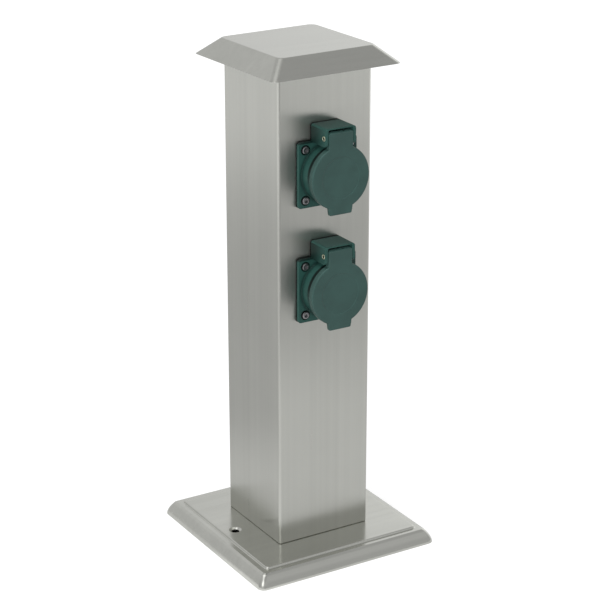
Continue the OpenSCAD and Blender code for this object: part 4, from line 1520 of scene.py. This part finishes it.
    def tab(self) -> Surface:
        """The thumb tab: a tapering outline with round ends, whose root follows the rim.

        Returns:
            The closed surface.
        """
        r, taper, end, reach = self.tab_r, self.tab_taper, self.tab_end, self.tab_reach
        root = self.lid_r - self.lid_wall / 2
        spread = math.degrees(math.asin(self.tab_half / root))
        outline = np.concatenate([
            arc(r - end, r - reach, r, 180 + taper, 270, 6),
            arc(end - r, r - reach, r, 270, 360 - taper, 6),
            arc(0, 0, root, 270 + spread, 270 - spread, 15),
        ])
        return slab(outline, self.tab_back, self.face(), self.tab_back_round, self.tab_front_round)

    def lid(self) -> bpy.types.Mesh:
        """The whole lid, with the bore for the pin, the room for the spring's coil and the slit that
        its standing leg passes when the lid turns.

        Returns:
            The mesh in the socket's frame.
        """
        up, out, back, leg = self.hinge_up, self.hinge_out, self.room_back, self.coil_len / 2
        room = rectangle(-self.room_half, self.room_half, up - self.lid_leg - self.wire_r, up + self.room_up)
        slit = rectangle(leg - self.slit_half, leg + self.slit_half, up, up + self.slit_up)
        cuts = [
            self.bore(self.turn_gap),
            slab(room, back, out + self.room_out, SHARP_EDGE, self.room_round),
            slab(slit, back, out + self.slit_out, SHARP_EDGE, SHARP_EDGE),
        ]
        return fused_mesh("lid", self.lid_disc(), [self.tongue(), self.tab()] + self.face_bridges(), cuts)

    def seal(self) -> Surface:
        """The round-nosed seal ring inside the lid.

        Returns:
            The closed surface.
        """
        nose, r, seat = self.seal_nose, self.seal_r, self.plate_in
        curve = arc(r, self.collar_front + self.seal_gap + nose, nose, 180, 360, 9)
        return revolved(np.concatenate([curve, [[r + nose, seat], [r - nose, seat]]]), LID_SIDES, closed=True)

    def gasket(self) -> Surface:
        """The flat gasket between flange and tube, with softly rounded edges.

        Returns:
            The closed surface.
        """
        t = self.gasket_t
        barrel = Hole.straight(0.0, 0.0, self.collar_r + self.barrel_gap, t, 0.0, SIDES)
        holes = self.screw_holes(t, 0.0) + [barrel]
        return slab(self.outline(), 0.0, t, self.gasket_round, self.gasket_round, holes)

    def screws(self) -> Surface:
        """Four cap screws. Each is a run of rings: round ones for head and shank, six-sided ones
        for the key hole, whose radius is the key's half width over the cosine of the angle from
        the nearest flat.

        Returns:
            The closed surfaces.
        """
        a, seat = round_steps(self.screw_sides), self.flange_front - self.sink
        around = np.stack([np.cos(a), np.sin(a)], -1)
        six_sided = around / np.cos((a + np.pi / 6) % (np.pi / 3) - np.pi / 6)[:, None]
        rings = [at_height(r * around, seat + z) for r, z in self.screw_profile]
        rings += [at_height(r * six_sided, seat + z) for r, z in self.key_profile]
        one = lattice(np.stack(rings))
        return joined([one.moved(x, y) for x, y in self.corners()])

    def pin(self) -> Surface:
        """The hinge pin with a hollow flared head at either end, turned about the hinge line.

        Returns:
            The closed surface.
        """
        end, bore = self.hood_half, self.pin_bore
        well = end - self.pin_well
        flare = [(bore + wide, end + out) for wide, out in self.pin_flare]
        half = [(0.0, well), (bore, well)] + flare + [(self.pin_r, end)]
        return self.on_hinge(half + [(r, -along) for r, along in half[::-1]], self.pin_sides)

    def spring(self) -> Surface:
        """The closing spring: up the back of the tongue, round the pin as a coil that also moves
        along it, and back to the flange.

        Returns:
            The closed surface.
        """
        turn = np.arange(int(self.coil_turns * self.coil_steps) + 1) / self.coil_steps
        a = 2 * np.pi * turn
        coil = np.stack([
            self.coil_len * (turn / self.coil_turns - 0.5),
            self.hinge_up + self.coil_r * np.sin(a),
            self.hinge_out + self.coil_r * np.cos(a)], -1)
        share = np.linspace(1, 0, 5)[:-1, None]
        lid_leg = coil[0] - share * [0.0, self.lid_leg, 0.0]
        to_flange = self.hinge_out - self.flange_front - 2 * self.wire_r
        hood_leg = coil[-1] - share[::-1] * [0.0, 0.0, to_flange]
        return swept_tube(np.concatenate([lid_leg, coil, hood_leg]), self.wire_r, self.wire_sides)

    def plastic(self) -> GrimyMoulded:
        """The housing's plastic, with its painted shade placed by this socket's sizes."""
        return replace(
            GREEN,
            socket_z=self.height * MM,
            collar_r=self.collar_r * MM,
            root_out=self.flange_front * MM,
            screw_at=self.screw_at * MM,
            sink_r=(self.sink_r + self.sink_break) * MM,
            cheek_at=(self.hood_half - self.cheek_skin) * MM,
            cheek_low=self.cheek_low * MM,
        )

    def build(self) -> None:
        """Makes the socket's pieces and seats them on the post."""
        p, to_post = self.place, on_front(self.height)
        turn = Matrix(((1, 0, 0, 0), (0, 0, -1, -POST_HALF), (0, 1, 0, self.height), (0, 0, 0, 1)))

        def seated(name: str, shape: Surface) -> bpy.types.Mesh:
            """A shape of the socket's frame as a mesh in the part's frame."""
            return made_mesh(name, shape.mapped(to_post))

        housing, lid = self.housing(), self.lid()
        housing.transform(turn)
        lid.transform(turn)
        set_piece(f"{p}_housing_moulded", housing, self.plastic(), Body.POST, f"{p}_housing")
        set_piece(f"{p}_lid_moulded", lid, LID_GREEN, self.body, f"{p}_lid")
        set_piece(f"{p}_lid_seal_ring", seated("seal", self.seal()), BLACK, self.body, f"{p}_lid_seal")
        set_piece(f"{p}_gasket_sheet", seated("gasket", self.gasket()), BLACK, Body.POST, f"{p}_gasket")
        screws = seated("screws", self.screws())
        set_piece(f"{p}_cap_screws", screws, SCREW_STEEL, Body.POST, f"{p}_flange_screws")
        hinge = (-POST_HALF - self.hinge_out) * MM, (self.height + self.hinge_up) * MM
        # the pin's metal with painted shade, nearly black, in and just round its bore
        hollow = replace(PIN_METAL, bore_r=(self.pin_bore + self.pin_grease) * MM, bore_at=(0.0, *hinge))
        set_piece(f"{p}_flared_pin", seated("pin", self.pin()), hollow, Body.POST, f"{p}_hinge_pin")
        wound = seated("spring", self.spring())
        coil = set_piece(f"{p}_closing_spring", wound, SPRING_WIRE, None, f"{p}_lid_spring")
        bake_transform(coil)


UPPER = FlangeSocket("upper", 310.2, Body.UPPER_LID)
LOWER = FlangeSocket("lower", 220.2, Body.LOWER_LID)
SOCKETS = (UPPER, LOWER)


@dataclass
class Wiring:
    """The wires inside the tube, from the terminal block to both sockets, in millimetres. The points of their
    routes are given one by one."""

    wire_r: float = 1.4
    wire_sides: int = 16
    steps: int = 10
    block_y: float = POST_HALF - 11.2
    block_low: float = 66.2
    block_top: float = 86.2
    lug_y: float = POST_HALF - 6.6
    lug_top: float = 50.2
    clamp_y: float = 18.5 - POST_HALF
    earth_y: float = 11.8 - POST_HALF
    pole_x: float = 12.0
    clamp_x: float = 9.5

    def rise(self, pole_x: float, clamp_x: float, y: float) -> Array:
        """Points from the block up and across to the lower socket."""
        p, t, z = self.block_y, self.block_top, LOWER.height
        return np.array([
            [pole_x, p, t - 5], [pole_x, p, t + 2], [pole_x, p, t + 12], [pole_x, p - 8, t + 35],
            [clamp_x, y + 10, z - 45], [clamp_x, y, z - 16], [clamp_x, y, z - 6], [clamp_x, y, z - 1]])

    def link(self, x: float, y: float) -> Array:
        """Points from the lower socket to the upper one, with a slight bow."""
        a, b = LOWER.height, UPPER.height
        return np.array([
            [x, y, a + 1], [x, y, a + 6], [x, y, a + 16], [x, y + 8, (a + b) / 2],
            [x, y, b - 16], [x, y, b - 6], [x, y, b - 1]])

    def bond(self) -> Array:
        """Points from the bonding lug up to the block."""
        a, b, y, p = self.lug_top, self.block_low, self.lug_y, self.block_y
        return np.array([
            [0, y, a - 3], [0, y, a + 2], [0, y, a + 5], [0, p, b - 5], [0, p, b], [0, p, b + 5]])

    def build(self) -> None:
        """Makes the live, neutral and earth wires."""
        pole, clamp, y, earth = self.pole_x, self.clamp_x, self.clamp_y, self.earth_y
        sets = {
            "live_wires": (BROWN_WIRE, [self.rise(-pole, -clamp, y), self.link(-clamp, y)]),
            "neutral_wires": (BLUE_WIRE, [self.rise(pole, clamp, y), self.link(clamp, y)]),
            "earth_wires": (EARTH_WIRE, [self.rise(0, 0, earth), self.link(0, earth), self.bond()]),
        }
        for node, (finish, routes) in sets.items():
            runs = [smooth_run(route, self.steps) for route in routes]
            tubes = joined([swept_tube(run, self.wire_r, self.wire_sides) for run in runs])
            set_piece(f"{node}_insulated", made_mesh(node, tubes), finish, Body.POST, node)


@dataclass
class InnerParts:
    """CAD nodes whose shape is right as it is, with their finishes."""

    finishes: dict[str, Finish] = field(default_factory=lambda: {
        "cap_collar": ZINC, "foot_brackets": ZINC, "rear_bracket": ZINC, "base_bolts": ZINC,
        "base_nuts": ZINC, "cable_grommet": BLACK, "terminal_block": CREAM, "terminal_clamps": BRASS,
        "clamp_screws": ZINC, "block_screws": ZINC, "bond_screw": BRASS, "bond_lug": ZINC})
    in_socket: dict[str, Finish] = field(default_factory=lambda: {
        "insert": DARK_GREEN, "pin_contacts": BRASS, "earth_contact": BRASS, "terminal_screws": ZINC,
        "flange_nuts": ZINC})

    def build(self) -> None:
        """Gives each of these nodes its finish."""
        every = dict(self.finishes)
        for socket in SOCKETS:
            every |= {f"{socket.place}_{piece}": finish for piece, finish in self.in_socket.items()}
        for name, finish in every.items():
            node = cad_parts[name]
            node.data.materials.clear()
            node.data.materials.append(finish.material())
            LOG.info("%s: keeps its CAD shape", name)


# Studio


@dataclass(frozen=True)
class Glow:
    """A bright part of the surroundings: its direction, the cosines at which it starts and is full,
    its strength, and the share of that strength below a span of heights."""

    way: Triple
    span: Span
    gain: float
    foot: float = 1.0
    foot_span: Span = (0.0, 1.0)

    def share(self, g: Graph, way: Socket) -> Socket:
        """0 away from this part and 1 in the middle of it."""
        return g.dot(way, self.way).ramp(*self.span)

    def level(self, up: Socket) -> Socket:
        """Its strength at a height."""
        return (self.foot + up.ramp(*self.foot_span) * (1 - self.foot)) * self.gain


@dataclass(frozen=True)
class FloorSide:
    """How bright the floor is mirrored on one side: near the object, in a dimmer ring, and far off."""

    near: float
    dip: float
    dip_span: Span
    rise: float
    rise_span: Span

    def level(self, reach: Socket) -> Socket:
        """The brightness at a distance from the object in metres."""
        return self.near - reach.ramp(*self.dip_span) * self.dip + reach.ramp(*self.rise_span) * self.rise


@dataclass(frozen=True)
class Lamp:
    """A soft square lamp: its name, place, side and power."""

    name: str
    at: Triple
    side: float
    watts: float


@dataclass
class Studio:
    """Pale floor, white surroundings, soft light and the camera, in metres. Heights of the
    surroundings are sines of the angle above the horizon."""

    camera_at: Triple = (-0.7368, -1.2329, 0.7266)
    azimuth: float = -31.07
    elevation: float = 20.41
    lens: float = 117.0
    sensor: float = 36.0
    clip: Span = (0.05, 50.0)
    ambient: float = 0.30
    horizon: float = 0.47
    aloft: float = 0.44
    aloft_span: Span = (0.60, 0.80)
    shoulder: float = 0.08
    shoulder_span: Span = (0.35, 0.50)
    rear: Glow = Glow((0.2, 0.98, 0.0), (0.3, 0.8), 0.655, 0.93, (0.25, 0.50))
    far: Glow = Glow((0.866, 0.5, 0.0), (0.72, 0.95), 1.2, 0.76, (0.2, 0.36))
    strip: Glow = Glow((-0.853, -0.522, 0.0), (0.80, 0.96), 0.18)
    strip_top: Span = (0.2, 0.5)
    top: Glow = Glow((-0.30, 0.0, 0.954), (0.90, 0.985), 1.0)
    glint: Glow = Glow((-0.66, -0.42, 0.62), (0.93, 0.985), 1.2)
    floor_half: float = 6.0
    floor_z: float = -0.0002
    floor_tone: float = 0.28
    floor_glow: float = 0.88
    floor_haze: float = 0.16
    haze_span: Span = (0.6, 2.2)
    plate_span: Span = (0.074, 0.079)
    floor_front: FloorSide = FloorSide(0.495, 0.185, (0.25, 0.70), 0.29, (0.9, 1.50))
    floor_back: FloorSide = FloorSide(0.485, 0.155, (0.15, 0.29), 0.355, (0.70, 1.38))
    back_way: Triple = (-0.516, 0.857, 0.0)
    lean_way: Triple = (0.857, 0.516, 0.0)
    side_span: Span = (-0.5, 0.5)
    floor_lean: float = 0.75
    lean_span: Span = (0.38, 0.68)
    floor_strip: float = 0.18
    floor_fade: float = 0.14
    fade_span: Span = (1.8, 3.5)
    least_reach: float = 0.001
    lamp_aim: Triple = (0.0, 0.0, 0.2)
    lamps: tuple[Lamp, ...] = (
        Lamp("key", (0.9, -1.9, 1.6), 1.2, 7.0),
        Lamp("side", (-1.5, -1.35, 0.75), 0.6, 31.0),
        Lamp("top", (-0.6, -0.1, 2.1), 1.2, 16.0),
    )

    def camera(self) -> None:
        """The camera at the photograph's viewing angle."""
        data = bpy.data.cameras.new("camera")
        data.lens, data.sensor_width = self.lens, self.sensor
        data.clip_start, data.clip_end = self.clip
        a, e = math.radians(self.azimuth), math.radians(self.elevation)
        to_camera = Vector((math.sin(a) * math.cos(e), -math.cos(a) * math.cos(e), math.sin(e)))
        obj = placed("camera", data)
        aim(obj, self.camera_at, -to_camera)
        bpy.context.scene.camera = obj

    def surroundings(self) -> None:
        """White to the camera. Mirrored in metal they are bright along the horizon and on the far
        side, darker higher up, with a strip light at the front left and a lamp overhead. Soft
        surfaces get an even light from them."""
        world = bpy.data.worlds.new("studio")
        bpy.context.scene.world = world
        g = Graph(world)
        way = g.node("ShaderNodeTexCoord", output="Generated")
        up = g.dot(way, UPWARDS)
        high = up.ramp(*self.aloft_span)
        level = self.horizon - high * (self.horizon - self.aloft)
        level = level + up.ramp(*self.shoulder_span) * (1 - high) * self.shoulder
        for glow in (self.rear, self.far):
            level = level + glow.share(g, way) * (glow.level(up) - level)
        strip = self.strip.share(g, way) * (1 - up.ramp(*self.strip_top))
        level = level + strip * self.strip.gain
        for glow in (self.top, self.glint):
            level = level + glow.share(g, way) * glow.gain
        seen, mirrored = g.ray("Camera"), g.ray("Glossy").most(g.ray("Transmission"))
        strength = seen + (1 - seen) * (mirrored * level + (1 - mirrored) * self.ambient)
        shader = g.node("ShaderNodeBackground", {}, {"Color": rgba(WHITE), "Strength": strength})
        g.node("ShaderNodeOutputWorld", {}, {"Surface": shader})

    def mirrored_floor(self, g: Graph, at: Socket, reach: Socket) -> Socket:
        """How bright the floor is mirrored: dimmer in a ring round the object, brighter far off
        behind it and bright at the front left.

        Args:
            g: The floor's nodes.
            at: The place on the floor.
            reach: Its distance from the object.

        Returns:
            The brightness.
        """
        strip, behind, right = (
            g.dot(at, way) / reach.most(self.least_reach)
            for way in (self.strip.way, self.back_way, self.lean_way))
        front, back = self.floor_front.level(reach), self.floor_back.level(reach)
        lean = (right.ramp(*self.side_span) * 2 - 1) * reach.ramp(*self.lean_span)
        front = front * (1 + lean * self.floor_lean)
        level = front + behind.ramp(*self.side_span) * (back - front)
        level = level + strip.ramp(*self.strip.span) * self.floor_strip
        return level - reach.ramp(*self.fade_span) * self.floor_fade

    def floor(self) -> None:
        """A wide pale floor that glows where it is seen, so that it ends in white and still takes
        the object's shadow. It doesn't glow under the base plate."""
        half = self.floor_half
        corners = at_height(rectangle(-half, half, -half, half), self.floor_z)
        mesh = bpy.data.meshes.new("floor")
        mesh.from_pydata(corners.tolist(), [], [list(range(len(corners)))])
        made = bpy.data.materials.new("floor_pale")
        g = Graph(made)
        at = g.place()
        reach = g.length(at)
        clear = abs(g.dot(at, RIGHT)).most(abs(g.dot(at, REARWARDS))).ramp(*self.plate_span)
        haze = reach.ramp(*self.haze_span) * self.floor_haze
        seen = g.ray("Camera").most(g.ray("Transmission"))
        mirror = g.ray("Glossy") * self.mirrored_floor(g, at, reach)
        strength = clear * (seen * (self.floor_glow + haze) + mirror)
        glow = g.node("ShaderNodeEmission", {}, {"Color": rgba(WHITE), "Strength": strength})
        paper = g.node("ShaderNodeBsdfDiffuse", {}, {"Color": rgba(WHITE, self.floor_tone)})
        both = g.node("ShaderNodeAddShader", {}, {0: paper, 1: glow})
        g.node("ShaderNodeOutputMaterial", {}, {"Surface": both})
        mesh.materials.append(made)
        placed("floor", mesh)

    def light(self, lamp: Lamp) -> None:
        """Sets up a lamp that looks at the middle of the post.

        Args:
            lamp: The lamp.
        """
        data = bpy.data.lights.new(lamp.name, "AREA")
        data.size, data.energy = lamp.side, lamp.watts
        obj = placed(lamp.name, data)
        aim(obj, lamp.at, Vector(self.lamp_aim) - Vector(lamp.at))
        obj.visible_glossy = False

    def build(self) -> None:
        """Sets up the whole studio."""
        self.camera()
        self.surroundings()
        self.floor()
        for lamp in self.lamps:
            self.light(lamp)
        bpy.context.scene.view_settings.view_transform = "Standard"


def main() -> None:
    logging.basicConfig(level=logging.INFO, format="%(name)s %(message)s")
    Studio().build()
    Stand().build()
    for socket in SOCKETS:
        socket.build()
    Wiring().build()
    InnerParts().build()
    bpy.context.view_layer.update()


if __name__ == "__main__":
    main()
